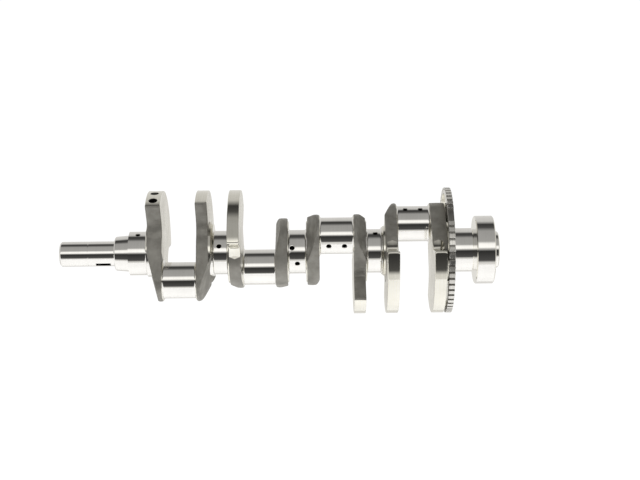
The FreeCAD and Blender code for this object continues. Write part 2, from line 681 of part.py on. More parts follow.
def seal_flange():
    """The flange that the flywheel bolts to; the oil seal runs on its rim."""
    body = new_body("seal_flange")
    length, radius, chamfer = S["flange_len"], S["flange_dia"] / 2, S["edge_chamfer"]
    core, seat, seat_x = S["core_dia"] / 2, S["bearing_dia"] / 2, BEARING_X - FLANGE_X
    corners = [(ZERO, core), (ZERO, radius - chamfer), (chamfer, radius), (length - chamfer, radius)]
    corners += [(length, radius - chamfer), (length, seat), (seat_x, seat), (seat_x, core)]
    turned(body, "Revolution", "body", corners)
    circle = S["bolt_circle_dia"] / 2
    dia, depth, mouth, turn = S["bolt_core_dia"], S["bolt_depth"], S["bolt_mouth"], S["bolt_angle"]
    bolt = bored(body, "bolt_hole", length, -1, dia, depth, mouth, circle, turn)
    patterned(body, [bolt], S["bolt_count"], FULL_TURN, "bolt_holes")
    bored(body, "dowel_hole", length, -1, S["dowel_dia"], S["dowel_depth"], ZERO, circle, S["dowel_turn"])
    place(body, FLANGE_X)


def pilot_hub():
    """The hub that centres the flywheel, with the pilot bearing's seat through it."""
    body = new_body("pilot_hub")
    length, radius, chamfer, seat = S["hub_len"], S["hub_dia"] / 2, S["edge_chamfer"], S["bearing_dia"] / 2
    corners = [(ZERO, seat), (ZERO, radius), (length - chamfer, radius), (length, radius - chamfer)]
    corners += [(length, seat + chamfer / 2), (length - chamfer / 2, seat)]
    turned(body, "Revolution", "body", corners)
    place(body, HUB_X)


def flange_dowel():
    """The dowel that locates the flywheel, pressed into the flange and chamfered at both ends."""
    body = new_body("flange_dowel")
    length, radius = S["dowel_depth"] + S["dowel_proud"], S["dowel_dia"] / 2
    chamfer = S["edge_chamfer"] / 2
    corners = [(ZERO, ZERO), (ZERO, radius - chamfer), (chamfer, radius), (length - chamfer, radius)]
    corners += [(length, radius - chamfer), (length, ZERO)]
    turned(body, "Revolution", "body", corners)
    turn = S["dowel_turn"]
    place(body, HUB_X - S["dowel_depth"], turn, S["bolt_circle_dia"] / 2, turn)


def core_plug():
    """The cup plug that closes the core ahead of the pilot bearing."""
    body = new_body("core_plug")
    length, radius, wall = S["plug_len"], S["core_dia"] / 2, S["plug_wall"]
    corners = [(ZERO, ZERO), (ZERO, radius - wall), (wall, radius), (length, radius), (length, radius - wall)]
    corners += [(wall * 2, radius - wall), (wall, radius - wall * 2), (wall, ZERO)]
    turned(body, "Revolution", "body", corners)
    place(body, BEARING_X - S["plug_back"] - length)


def trigger_wheel():
    """The toothed wheel for the crank sensor: a pressed hub, a thin disc and a wide rim cut into teeth."""
    body = new_body("trigger_wheel")
    width, top = S["wheel_rim_width"], S["wheel_dia"] / 2
    floor, inner = top - S["tooth_height"], top - S["wheel_rim_height"]
    disc, hub = S["wheel_web"], S["wheel_seat_dia"] / 2
    rim_x = LAST_CHEEK_X + S["end_cheek_len"] - S["last_weight_relief"] + S["wheel_gap"]
    disc_x = WHEEL_SEAT_X - rim_x + S["wheel_web_gap"]
    hub_rear = MAIN_LAST_X - rim_x
    collar = hub + S["wheel_hub_wall"]
    corners = [(ZERO, inner), (ZERO, floor), (width, floor), (width, inner), (disc_x + disc, inner)]
    corners += [(disc_x + disc, collar), (hub_rear, collar), (hub_rear, hub), (disc_x, hub), (disc_x, inner)]
    turned(body, "Revolution", "body", corners)
    pitch, half = S["tooth_pitch"], S["tooth_pitch"] * S["tooth_share"] / 2
    root_radius = floor - S["tooth_height"]
    first = S["tooth_gap_at"] + pitch * 1.5
    outline = new_sketch(body, "YZ_Plane", "tooth_outline")
    low, high = first - half, first + half
    corners = [(*towards(low, top), -top), towards(high, top), towards(high, root_radius), towards(low, root_radius)]
    add_outline(outline, corners)
    tooth = padded(body, outline, width, "tooth")
    patterned(body, [tooth], S["tooth_count"], pitch * (S["tooth_count"] - 1), "teeth")
    place(body, rim_x)


# ---------------------------------------------------------------- pilot bearing

BALL_TRACK = (S["ball_dia"] + S["ball_play"] * 2) / 2
PITCH = (S["bearing_bore"] + S["bearing_dia"]) / 4 + S["race_offset"]
RACE_SPAN = root(BALL_TRACK * BALL_TRACK - (BALL_TRACK - S["race_depth"]) * (BALL_TRACK - S["race_depth"]))


def bearing_rings():
    """Both rings, each with a round raceway groove in the middle of its width."""
    half, chamfer = S["bearing_width"] / 2, S["ring_chamfer"]
    shoulder = PITCH + BALL_TRACK - S["race_depth"]
    outer = S["bearing_dia"] / 2
    body = new_body("pilot_bearing_outer_ring")
    corners = [(-half, shoulder), (-half, outer - chamfer), (chamfer - half, outer), (half - chamfer, outer)]
    corners += [(half, outer - chamfer), (half, shoulder), (RACE_SPAN, shoulder, -BALL_TRACK), (-RACE_SPAN, shoulder)]
    turned(body, "Revolution", "body", corners)
    place(body, BEARING_X + half)

    shoulder = PITCH - BALL_TRACK + S["race_depth"]
    bore = S["bearing_bore"] / 2
    body = new_body("pilot_bearing_inner_ring")
    corners = [(half, shoulder), (half, bore + chamfer), (half - chamfer, bore), (chamfer - half, bore)]
    corners += [(-half, bore + chamfer), (-half, shoulder), (-RACE_SPAN, shoulder, -BALL_TRACK), (RACE_SPAN, shoulder)]
    turned(body, "Revolution", "body", corners)
    place(body, BEARING_X + half)


def bearing_balls():
    """The balls, as a ring of separate solids in one node."""
    body = new_body("pilot_bearing_balls")
    body.AllowCompound = True
    radius = S["ball_dia"] / 2
    corners = [(-radius, PITCH, radius), (ZERO, PITCH + radius, radius), (radius, PITCH)]
    ball = turned(body, "Revolution", "ball", corners, axis=((-radius, PITCH), (radius, PITCH)))
    patterned(body, [ball], S["ball_count"], FULL_TURN, "balls")
    place(body, BEARING_X + S["bearing_width"] / 2)


def cage():
    """The cage: a ring with a round pocket for each ball."""
    body = new_body("pilot_bearing_cage")
    pocket = S["ball_dia"] / 2 + S["cage_gap"]
    half, depth = pocket + S["cage_wall"], S["cage_height"] / 2
    corners = [(-half, PITCH - depth), (-half, PITCH + depth), (half, PITCH + depth), (half, PITCH - depth)]
    turned(body, "Revolution", "body", corners)
    hole = new_sketch(body, "XY_Plane", "pocket_outline")
    centre = hole.addGeometry(Part.Circle(FreeCAD.Vector(), FreeCAD.Vector(0, 0, 1), pocket.value), False)
    fix_point(hole, centre, 3, ZERO, ZERO)
    add_bound(hole, "Radius", centre, size=pocket)
    cut = body.newObject("PartDesign::Pocket", "cage_pocket")
    cut.Profile = hole
    cut.Reversed = True
    bind(cut, "Length", PITCH + depth + BEYOND)
    patterned(body, [cut], S["ball_count"], FULL_TURN, "pockets")
    place(body, BEARING_X + S["bearing_width"] / 2)


def shields():
    """The two shields, fixed to the outer ring and just clear of the inner one."""
    outer = PITCH + BALL_TRACK - S["race_depth"]
    inner = PITCH - BALL_TRACK + S["race_depth"] + S["shield_gap"]
    thickness, inset = S["shield_thickness"], S["shield_inset"]
    for name, x in (("front", inset), ("rear", S["bearing_width"] - inset - thickness)):
        body = new_body(f"pilot_bearing_{name}_shield")
        corners = [(ZERO, inner), (ZERO, outer), (thickness, outer), (thickness, inner)]
        turned(body, "Revolution", "body", corners)
        place(body, BEARING_X + x)


# ---------------------------------------------------------------- the whole shaft


def build():
    """Makes every sub-part and recomputes the document."""
    snout()
    gear_seat()
    main_journals()
    crankpins()
    cheeks()
    neck()
    seal_flange()
    pilot_hub()
    flange_dowel()
    core_plug()
    trigger_wheel()
    bearing_rings()
    bearing_balls()
    cage()
    shields()
    doc.recompute()


def check():
    """Stops the build if any object failed or any sub-part isn't a valid solid."""
    for thing in doc.Objects:
        if {"Invalid", "Error"} & set(thing.State):
            raise RuntimeError(f"{thing.Name} failed: {thing.State}")
    for body in doc.findObjects("PartDesign::Body"):
        if body.Shape.isNull() or not body.Shape.isValid() or not body.Shape.Solids:
            raise RuntimeError(f"{body.Label} has no valid solid")


def export():
    """Writes each sub-part to a STEP file named after it."""
    os.makedirs("parts", exist_ok=True)
    for body in doc.findObjects("PartDesign::Body"):
        body.Shape.exportStep(f"parts/{body.Label}.step")
        print(f"{body.Label}: {body.Shape.Volume:.0f} mm3, {len(body.Shape.Solids)} solid(s)")


build()
check()
export()
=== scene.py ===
"""Looks of a cross-plane V8 crankshaft: ground journals, forged cheeks, turned counterweights, a milled trigger
wheel and the rear end with its pilot bearing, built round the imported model.

Lengths in this file are millimetres until a mesh is made. An angle about the main axis is counted in degrees from
+Z towards -Y, so a point at angle a and radius r is at y = -r sin a, z = r cos a.
"""

import logging
import math
from collections.abc import Callable, Sequence
from dataclasses import dataclass, field
from enum import Enum

import bmesh
import bpy
import numpy as np
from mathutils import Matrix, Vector


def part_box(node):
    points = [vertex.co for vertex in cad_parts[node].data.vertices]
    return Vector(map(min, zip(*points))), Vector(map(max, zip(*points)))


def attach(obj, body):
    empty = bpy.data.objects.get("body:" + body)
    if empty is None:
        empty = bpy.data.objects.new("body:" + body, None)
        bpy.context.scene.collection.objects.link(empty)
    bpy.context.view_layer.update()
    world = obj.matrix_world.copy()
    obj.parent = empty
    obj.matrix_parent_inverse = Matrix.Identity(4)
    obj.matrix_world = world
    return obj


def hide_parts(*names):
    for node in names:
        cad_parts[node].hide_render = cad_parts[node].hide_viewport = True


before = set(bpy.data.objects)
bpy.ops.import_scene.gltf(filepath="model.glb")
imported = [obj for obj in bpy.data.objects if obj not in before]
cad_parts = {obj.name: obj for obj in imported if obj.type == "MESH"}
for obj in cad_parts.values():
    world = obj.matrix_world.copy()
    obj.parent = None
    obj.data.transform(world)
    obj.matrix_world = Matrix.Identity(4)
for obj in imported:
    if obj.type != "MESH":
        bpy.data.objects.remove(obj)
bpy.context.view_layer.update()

LOG = logging.getLogger("crankshaft")
MM = 0.001
SEGMENTS = 240
SHARP = math.radians(38)
JOURNAL_FILLET = 2.6
OIL_DIA, OIL_DEPTH, OIL_MOUTH, OIL_BLOCK = 5.6, 17.0, 1.1, 5.6


# ---------------------------------------------------------------- names of the finishes


class Skin(Enum):
    """The finishes that the parts are dressed in. The near-black hole material is painted shade inside the holes,
    and slot_shadow is painted shade on the floors between the trigger wheel's teeth.
    """

    GROUND = "ground_steel"
    TURNED = "turned_steel"
    FORGED = "forged_skin"
    FACE = "weight_face"
    MILLED = "milled_steel"
    SLOT = "slot_shadow"
    HOLE_SHADE = "painted_hole_shade"
    BEARING = "bearing_steel"
    BALL = "ball_steel"
    CAGE = "pressed_cage"
    ZINC = "zinc_plate"
    HARDENED = "hardened_pin"


class Grain(Enum):
    """Which way the tool marks of a finish run."""

    NONE = 0
    AROUND = 1
    SPIRAL = 2


# ---------------------------------------------------------------- shader node groups


def new_group(
    name: str, inputs: Sequence[tuple[str, str, float]], outputs: Sequence[tuple[str, str]]
) -> tuple[bpy.types.NodeTree, bpy.types.Node, bpy.types.Node]:
    """Starts a shader node group.

    Args:
        name: Name of the group.
        inputs: Name, socket type and default of each input.
        outputs: Name and socket type of each output.

    Returns:
        The node tree, its input node and its output node.
    """
    tree = bpy.data.node_groups.new(name, "ShaderNodeTree")
    for label, kind, default in inputs:
        socket = tree.interface.new_socket(label, in_out="INPUT", socket_type=kind)
        if kind == "NodeSocketFloat":
            socket.default_value = default
    for label, kind in outputs:
        tree.interface.new_socket(label, in_out="OUTPUT", socket_type=kind)
    return tree, tree.nodes.new("NodeGroupInput"), tree.nodes.new("NodeGroupOutput")


def add_node(tree: bpy.types.NodeTree, kind: str, links: dict | None = None, **settings: object) -> bpy.types.Node:
    """Adds a node, sets its properties and connects or sets its inputs.

    Args:
        tree: The node tree.
        kind: The node's type name.
        links: Input name or index to a socket to connect, or to a value.
        **settings: Properties of the node itself.

    Returns:
        The new node.
    """
    node = tree.nodes.new(kind)
    for key, value in settings.items():
        setattr(node, key, value)
    for key, value in (links or {}).items():
        if isinstance(value, bpy.types.NodeSocket):
            tree.links.new(value, node.inputs[key])
        else:
            node.inputs[key].default_value = value
    return node


def tool_mark_group() -> bpy.types.NodeTree:
    """Fine marks that a grinding wheel or a turning tool leaves.

    The coordinate across the marks is X for marks round the axis, and the distance from the main axis for marks on
    a flat face. Noise is stretched so that it changes fast across the marks and slowly along them.

    Returns:
        The group, with the coordinate and the marks per millimetre as inputs and a mask as output.
    """
    tree, given, out = new_group(
        "tool_marks",
        [
            ("Vector", "NodeSocketVector", 0), ("Spiral", "NodeSocketFloat", 0),
            ("Per mm", "NodeSocketFloat", 3)
        ],
        [("Mask", "NodeSocketFloat"), ("Patch", "NodeSocketFloat")],
    )
    parts = add_node(tree, "ShaderNodeSeparateXYZ", {0: given.outputs["Vector"]})
    flat = add_node(tree, "ShaderNodeCombineXYZ", {"Y": parts.outputs["Y"], "Z": parts.outputs["Z"]})
    radius = add_node(tree, "ShaderNodeVectorMath", {0: flat.outputs[0]}, operation="LENGTH")
    across = add_node(
        tree, "ShaderNodeMix", {0: given.outputs["Spiral"], 2: parts.outputs["X"], 3: radius.outputs["Value"]}
    )
    scale = add_node(tree, "ShaderNodeMath", {0: given.outputs["Per mm"], 1: 1 / MM}, operation="MULTIPLY")
    fine = add_node(tree, "ShaderNodeMath", {0: across.outputs[0], 1: scale.outputs[0]}, operation="MULTIPLY")
    lane = add_node(tree, "ShaderNodeVectorMath", {0: flat.outputs[0], "Scale": 12.0}, operation="SCALE")
    shifted = add_node(tree, "ShaderNodeCombineXYZ", {"X": fine.outputs[0]})
    place = add_node(
        tree, "ShaderNodeVectorMath", {0: lane.outputs[0], 1: shifted.outputs[0]}, operation="ADD"
    )
    marks = add_node(tree, "ShaderNodeTexNoise", {"Vector": place.outputs[0], "Scale": 1.0, "Detail": 3.0})
    patch = add_node(
        tree, "ShaderNodeTexNoise", {"Vector": given.outputs["Vector"], "Scale": 38.0, "Detail": 4.0}
    )
    tree.links.new(marks.outputs[0], out.inputs["Mask"])
    tree.links.new(patch.outputs[0], out.inputs["Patch"])
    return tree


def forge_group() -> bpy.types.NodeTree:
    """Scaled and shot-blasted skin of a forging: shallow pits, a broad mottle and a fine grain.

    Returns:
        The group, with the coordinate as input and a height, a mottle and a pit mask as outputs.
    """
    tree, given, out = new_group(
        "forge_skin",
        [("Vector", "NodeSocketVector", 0)],
        [("Height", "NodeSocketFloat"), ("Mottle", "NodeSocketFloat"), ("Pits", "NodeSocketFloat")],
    )
    vector = given.outputs["Vector"]
    broad = add_node(
        tree, "ShaderNodeTexNoise", {"Vector": vector, "Scale": 55.0, "Detail": 5.0, "Roughness": 0.6}
    )
    grain = add_node(tree, "ShaderNodeTexNoise", {"Vector": vector, "Scale": 900.0, "Detail": 3.0})
    cells = add_node(tree, "ShaderNodeTexVoronoi", {"Vector": vector, "Scale": 260.0}, feature="SMOOTH_F1")
    pits = add_node(
        tree, "ShaderNodeMapRange", {0: cells.outputs[0], 1: 0.12, 2: 0.42, 3: 1.0, 4: 0.0},
        interpolation_type="SMOOTHSTEP"
    )
    low = add_node(tree, "ShaderNodeMath", {0: pits.outputs[0], 1: -0.35}, operation="MULTIPLY")
    rough = add_node(
        tree, "ShaderNodeMath", {0: grain.outputs[0], 1: 0.5, 2: low.outputs[0]}, operation="MULTIPLY_ADD"
    )
    high = add_node(
        tree, "ShaderNodeMath", {0: broad.outputs[0], 1: 0.8, 2: rough.outputs[0]}, operation="MULTIPLY_ADD"
    )
    tree.links.new(high.outputs[0], out.inputs["Height"])
    tree.links.new(broad.outputs[0], out.inputs["Mottle"])
    tree.links.new(pits.outputs[0], out.inputs["Pits"])
    return tree


# ---------------------------------------------------------------- finishes


@dataclass(frozen=True)
class Steel:
    """A worked steel surface.

    Attributes:
        light: Colour of the clean metal.
        dark: Colour where the surface is duller.
        rough: Lowest and highest roughness.
        grain: Which way the tool marks run.
        marks_per_mm: How close the marks are.
        bump: Height of the marks in millimetres.
    """

    light: tuple[float, float, float]
    dark: tuple[float, float, float]
    rough: tuple[float, float]
    grain: Grain = Grain.AROUND
    marks_per_mm: float = 3.0
    bump: float = 0.002
    metallic: float = 1.0

    def material(self, name: str, marks: bpy.types.NodeTree) -> bpy.types.Material:
        """Builds the material.

        Args:
            name: Name of the material.
            marks: The shared group of tool marks.

        Returns:
            The finished material.
        """
        material, tree, shader = new_material(name)
        place = add_node(tree, "ShaderNodeTexCoord")
        spiral = 1.0 if self.grain is Grain.SPIRAL else 0.0
        group = add_node(tree, "ShaderNodeGroup", node_tree=marks)
        tree.links.new(place.outputs["Object"], group.inputs["Vector"])
        group.inputs["Spiral"].default_value = spiral
        group.inputs["Per mm"].default_value = self.marks_per_mm
        blend = add_node(
            tree, "ShaderNodeMath", {0: group.outputs["Mask"], 1: group.outputs["Patch"]},
            operation="MULTIPLY"
        )
        worn = add_node(tree, "ShaderNodeMapRange", {0: blend.outputs[0], 1: 0.12, 2: 0.42})
        colour = add_node(tree, "ShaderNodeMix", {0: worn.outputs[0]}, data_type="RGBA")
        colour.inputs[6].default_value = (*self.dark, 1)
        colour.inputs[7].default_value = (*self.light, 1)
        tree.links.new(colour.outputs[2], shader.inputs["Base Color"])
        rough = add_node(tree, "ShaderNodeMapRange", {0: worn.outputs[0], 3: self.rough[1], 4: self.rough[0]})
        tree.links.new(rough.outputs[0], shader.inputs["Roughness"])
        bump = add_node(
            tree, "ShaderNodeBump",
            {"Strength": 0.6, "Distance": self.bump * MM, "Height": group.outputs["Mask"]}
        )
        tree.links.new(bump.outputs[0], shader.inputs["Normal"])
        shader.inputs["Metallic"].default_value = self.metallic
        return material


@dataclass(frozen=True)
class Forging:
    """The dull skin of a forging, blasted and lightly oiled."""

    light: tuple[float, float, float] = (0.36, 0.35, 0.32)
    dark: tuple[float, float, float] = (0.235, 0.226, 0.205)
    metallic: float = 0.55
    bump: float = 0.10

    def material(self, name: str, forge: bpy.types.NodeTree) -> bpy.types.Material:
        """Builds the material.

        Args:
            name: Name of the material.
            forge: The shared group of the forged skin.

        Returns:
            The finished material.
        """
        material, tree, shader = new_material(name)
        place = add_node(tree, "ShaderNodeTexCoord")
        group = add_node(tree, "ShaderNodeGroup", node_tree=forge)
        tree.links.new(place.outputs["Object"], group.inputs["Vector"])
        tone = add_node(tree, "ShaderNodeMapRange", {0: group.outputs["Mottle"], 1: 0.30, 2: 0.70})
        colour = add_node(tree, "ShaderNodeMix", {0: tone.outputs[0]}, data_type="RGBA")
        colour.inputs[6].default_value = (*self.dark, 1)
        colour.inputs[7].default_value = (*self.light, 1)
        tree.links.new(colour.outputs[2], shader.inputs["Base Color"])
        rough = add_node(
            tree, "ShaderNodeMapRange", {0: group.outputs["Mottle"], 1: 0.3, 2: 0.7, 3: 0.58, 4: 0.44}
        )
        tree.links.new(rough.outputs[0], shader.inputs["Roughness"])
        bump = add_node(
            tree, "ShaderNodeBump",
            {"Strength": 0.45, "Distance": self.bump * MM, "Height": group.outputs["Height"]}
        )
        tree.links.new(bump.outputs[0], shader.inputs["Normal"])
        shader.inputs["Metallic"].default_value = self.metallic
        return material


def new_material(name: str) -> tuple[bpy.types.Material, bpy.types.NodeTree, bpy.types.Node]:
    """Starts a material with its Principled shader.

    Args:
        name: Name of the material.

    Returns:
        The material, its node tree and the shader node.
    """
    material = bpy.data.materials.new(name)
    material.use_nodes = True
    tree = material.node_tree
    return material, tree, tree.nodes["Principled BSDF"]


def make_skins() -> dict[Skin, bpy.types.Material]:
    """Builds every finish once.

    Returns:
        Each finish's material.
    """
    marks, forge = tool_mark_group(), forge_group()
    steels = {
        Skin.GROUND: Steel(
            (0.90, 0.89, 0.87), (0.82, 0.81, 0.79), (0.03, 0.08), marks_per_mm=2.2, bump=0.0005
        ),
        Skin.TURNED: Steel((0.88, 0.865, 0.80), (0.76, 0.74, 0.67), (0.05, 0.12), Grain.AROUND, 1.6, 0.002),
        Skin.FACE: Steel((0.88, 0.865, 0.81), (0.76, 0.74, 0.68), (0.22, 0.36), Grain.SPIRAL, 1.2, 0.005),
        Skin.MILLED: Steel((0.80, 0.79, 0.76), (0.62, 0.61, 0.58), (0.20, 0.34), Grain.AROUND, 1.2, 0.006),
        Skin.SLOT: Steel((0.38, 0.37, 0.35), (0.24, 0.235, 0.22), (0.3, 0.5), Grain.AROUND, 1.2, 0.01),
        # Painted shade: near-black steel for the walls and bottoms of holes, bores and the key slot, where only
        # shade falls.
        Skin.HOLE_SHADE: Steel((0.10, 0.098, 0.092), (0.03, 0.03, 0.03), (0.3, 0.5), Grain.AROUND, 2.0, 0.01),
        Skin.BEARING: Steel((0.84, 0.84, 0.84), (0.74, 0.74, 0.75), (0.06, 0.14), Grain.AROUND, 4.0, 0.001),
        Skin.BALL: Steel((0.92, 0.92, 0.92), (0.86, 0.86, 0.86), (0.02, 0.05), Grain.NONE, 0.5, 0.0002),
        Skin.CAGE: Steel((0.55, 0.54, 0.50), (0.40, 0.39, 0.36), (0.25, 0.42), Grain.AROUND, 1.0, 0.004),
        Skin.ZINC: Steel((0.70, 0.66, 0.50), (0.55, 0.53, 0.42), (0.24, 0.40), Grain.SPIRAL, 1.4, 0.004),
        Skin.HARDENED: Steel((0.42, 0.42, 0.43), (0.26, 0.26, 0.27), (0.14, 0.28), Grain.AROUND, 3.0, 0.002),
    }
    skins = {skin: steel.material(skin.value, marks) for skin, steel in steels.items()}
    skins[Skin.FORGED] = Forging().material(Skin.FORGED.value, forge)
    return skins


# ---------------------------------------------------------------- surfaces


def around(turn: np.ndarray | float, radius: np.ndarray | float) -> tuple[np.ndarray, np.ndarray]:
    """The y and z of points at an angle about the main axis and a radius: y = -r sin a, z = r cos a."""
    angle = np.radians(turn)
    return -radius * np.sin(angle), radius * np.cos(angle)


@dataclass
class Surface:
    """A mesh that is put together from grids of points, in millimetres.

    Attributes:
        skins: The finishes that its faces use, by their index.
    """

    skins: list[Skin]
    points: list[np.ndarray] = field(default_factory=list)
    faces: list[np.ndarray] = field(default_factory=list)
    finish: list[np.ndarray] = field(default_factory=list)
    shells: list[int] = field(default_factory=list)
    count: int = 0

    def start_shell(self) -> None:
        """Starts a closed shell of its own, whose points are joined only to each other."""
        self.shells.append(self.count)

    def add_grid(
        self,
        grid: np.ndarray,
        skin: Skin | np.ndarray,
        closed: bool = True,
        blocks: Sequence[tuple[int, int, int, int]] = (),
    ) -> None:
        """Adds a grid of points as quads.

        Args:
            grid: Points by row and column, in an array of shape rows, columns, 3.
            skin: One finish, or the finish index of each row and column of faces.
            closed: Whether the last column joins the first.
            blocks: Row and column ranges (first row, last row, first column, last column) that are left open.
        """
        rows, columns = grid.shape[:2]
        index = np.arange(rows * columns).reshape(rows, columns) + self.count
        after = np.roll(index, -1, axis=1)
        quads = np.stack([index[:-1], after[:-1], after[1:], index[1:]], axis=-1)
        keep = np.ones(quads.shape[:2], bool)
        for first, last, left, right in blocks:
            keep[first:last, np.arange(left, right) % columns] = False
        if not closed:
            keep[:, -1] = False
        tint = np.full(quads.shape[:2], self.skins.index(skin)) if isinstance(skin, Skin) else skin
        self.points.append(grid.reshape(-1, 3))
        self.faces.append(quads[keep])
        self.finish.append(np.broadcast_to(tint, quads.shape[:2])[keep])
        self.count += rows * columns

    def add_hole(self, grid: np.ndarray, block: tuple[int, int, int, int], hole: "Hole", skin: Skin) -> None:
        """Fills an open block of a grid with a round hole.

        Rings run from the block's edge to the hole's mouth, staying on the surface, then down the hole's own
        profile to a point at its bottom.

        Args:
            grid: The grid that has the open block.
            block: The block's row and column ranges.
            hole: The hole.
            skin: The finish of the surface round the hole.
        """
        first, last, left, right = block
        columns = np.arange(left, right + 1) % grid.shape[1]
        rows = np.arange(first, last + 1)
        edge = np.concatenate([
            grid[first, columns[:-1]], grid[rows[:-1], columns[-1]], grid[last, columns[:0:-1]],
            grid[rows[:0:-1], columns[0]]
        ])
        offset = edge - hole.centre
        a, b = offset @ hole.along, offset @ hole.aside
        mouth_a, mouth_b = hole.ring(a, b, hole.profile[0][0])
        rings = [edge]
        for share in (0.25, 0.5, 0.75, 1.0):
            ring_a, ring_b = a + (mouth_a - a) * share, b + (mouth_b - b) * share
            rings.append(hole.spot(ring_a, ring_b, hole.height(ring_a, ring_b)))
        outer = len(rings) - 1
        for size, height in hole.profile[1:]:
            rings.append(hole.spot(*hole.ring(a, b, size), np.full_like(a, height)))
        # Rings past the lip, down the hole's wall to its bottom, take the near-black painted shade.
        tint = np.full((len(rings) - 1, 1), self.skins.index(Skin.HOLE_SHADE))
        tint[:outer] = self.skins.index(skin)
        tint[outer : outer + 1] = self.skins.index(hole.lip)
        self.add_grid(np.stack(rings), tint)

    def build(self, name: str, paint: dict[Skin, bpy.types.Material]) -> bpy.types.Object:
        """Makes the object: joins doubled points, turns faces outwards and marks sharp edges.

        Args:
            name: Name of the object and its mesh.
            paint: The finishes' materials.

        Returns:
            The object, in the scene's collection.
        """
        points = np.concatenate(self.points) * MM
        faces = np.concatenate(self.faces)
        mesh = bpy.data.meshes.new(name)
        mesh.vertices.add(len(points))
        mesh.vertices.foreach_set("co", points.ravel())
        mesh.loops.add(faces.size)
        mesh.loops.foreach_set("vertex_index", faces.ravel().astype(np.int32))
        mesh.polygons.add(len(faces))
        mesh.polygons.foreach_set("loop_start", np.arange(0, faces.size, 4, dtype=np.int32))
        mesh.polygons.foreach_set("material_index", np.concatenate(self.finish).astype(np.int32))
        mesh.update(calc_edges=True)
        shape = bmesh.new()
        shape.from_mesh(mesh)
        corners = list(shape.verts)
        for first, last in zip(self.shells, [*self.shells[1:], self.count]):
            bmesh.ops.remove_doubles(shape, verts=corners[first:last], dist=0.002 * MM)
        bmesh.ops.recalc_face_normals(shape, faces=shape.faces)
        shape.to_mesh(mesh)
        shape.free()
        mesh.shade_smooth()
        mesh.set_sharp_from_angle(angle=SHARP)
        for skin in self.skins:
            mesh.materials.append(paint[skin])
        thing = bpy.data.objects.new(name, mesh)
        bpy.context.scene.collection.objects.link(thing)
        return thing


@dataclass(frozen=True)
class Hole:
    """A round hole in a surface.

    Attributes:
        centre: A point on the hole's axis.
        along: Unit vector across the hole.
        aside: The other unit vector across the hole.
        outwards: Unit vector along the hole's axis, out of its mouth.
        height: Height of the surface above the centre, as a function of the two offsets across the hole.
        profile: Radius and height of each ring, from the mouth to the bottom.
        lip: Finish of the countersink.
    """

    centre: np.ndarray
    along: np.ndarray
    aside: np.ndarray
    outwards: np.ndarray
    height: Callable[[np.ndarray, np.ndarray], np.ndarray]
    profile: Sequence[tuple[float, float]]
    lip: Skin

    def ring(self, a: np.ndarray, b: np.ndarray, size: float) -> tuple[np.ndarray, np.ndarray]:
        """Moves points to the circle of radius size, each on its own ray from the middle."""
        angle = np.arctan2(b, a)
        return size * np.cos(angle), size * np.sin(angle)

    def spot(self, a: np.ndarray, b: np.ndarray, height: np.ndarray) -> np.ndarray:
        """Points at two offsets across the hole and a height along it.

        Args:
            a: Offsets along the hole's first direction.
            b: Offsets along its second direction.
            height: Heights along its axis.

        Returns:
            The points in space.
        """
        return self.centre + np.outer(a, self.along) + np.outer(b, self.aside) + np.outer(
            height, self.outwards
        )


@dataclass(frozen=True)
class Slot(Hole):
    """A pocket with a rectangular outline. Its profile gives how far each ring lies inside the outline.

    Attributes:
        halves: Half the outline's length and half its width.
    """

    halves: tuple[float, float] = (1.0, 1.0)

    def ring(self, a: np.ndarray, b: np.ndarray, size: float) -> tuple[np.ndarray, np.ndarray]:
        """Scales the block's edge to the outline, less the inset size."""
        half_a, half_b = (half - size for half in self.halves)
        return a / np.abs(a).max() * half_a, b / np.abs(b).max() * half_b


def radial_hole(x: float, turn: float, surface: float, dia: float, depth: float, mouth: float, lip: Skin,
                offset: tuple[float, float] = (0.0, 0.0)) -> Hole:
    """A hole drilled towards an axis along X through a round surface.

    Args:
        x: Place along the axis.
        turn: Direction of the hole about the axis.
        surface: Radius of the round surface.
        dia: Diameter of the hole.
        depth: Depth below the surface.
        mouth: Width of the countersink.
        lip: Finish of the countersink.
        offset: The axis's own y and z.

    Returns:
        The hole. The surface's height at an offset b from the middle is sqrt(surface^2 - b^2).
    """
    out_y, out_z = around(turn, 1.0)
    side_y, side_z = around(turn + 90, 1.0)
    half = dia / 2
    top = math.sqrt(surface**2 - (half + mouth) ** 2)
    profile = [
        (half + mouth, top), (half + mouth * 0.45, top - mouth * 0.4), (half, top - mouth),
        (half, top - depth * 0.35)
    ]
    profile += [(half, surface - depth), (0.0, surface - depth - half * 0.6)]
    return Hole(
        np.array([x, *offset]), np.array([1.0, 0, 0]), np.array([0, side_y, side_z]),
        np.array([0, out_y, out_z]),
        lambda a, b: np.sqrt(np.maximum(surface**2 - b**2, 0)), profile, lip,
    )


def rounded(corners: Sequence[tuple[float, float, float]], steps: int = 6) -> np.ndarray:
    """A profile of straight runs whose corners are rounded by tangent arcs.

    For a corner of radius r where the way turns by t, each tangent point is r tan(t / 2) from the corner, and the
    arc between them is sampled evenly.

    Args:
        corners: x, radius from the axis and rounding radius of each corner.
        steps: Points on each arc.

    Returns:
        The profile's points, in an array of shape n, 2.
    """
    points = [np.array(corners[0][:2])]
    for before, here, after in zip(corners, corners[1:], corners[2:]):
        spot = np.array(here[:2])
        into, away = spot - np.array(before[:2]), np.array(after[:2]) - spot
        into, away = into / np.linalg.norm(into), away / np.linalg.norm(away)
        turn = math.acos(float(np.clip(into @ away, -1, 1)))
        if here[2] <= 0 or turn < 1e-3:
            points.append(spot)
            continue
        reach = here[2] * math.tan(turn / 2)
        start, stop = spot - into * reach, spot + away * reach
        middle = spot + (away - into) / np.linalg.norm(away - into) * here[2] / math.cos(turn / 2)
        from_middle, to_middle = start - middle, stop - middle
        for share in np.linspace(0, 1, steps):
            weight = np.sin([(1 - share) * turn, share * turn]) / math.sin(turn)
            points.append(middle + weight[0] * from_middle + weight[1] * to_middle)
    points.append(np.array(corners[-1][:2]))
    return np.array(points)


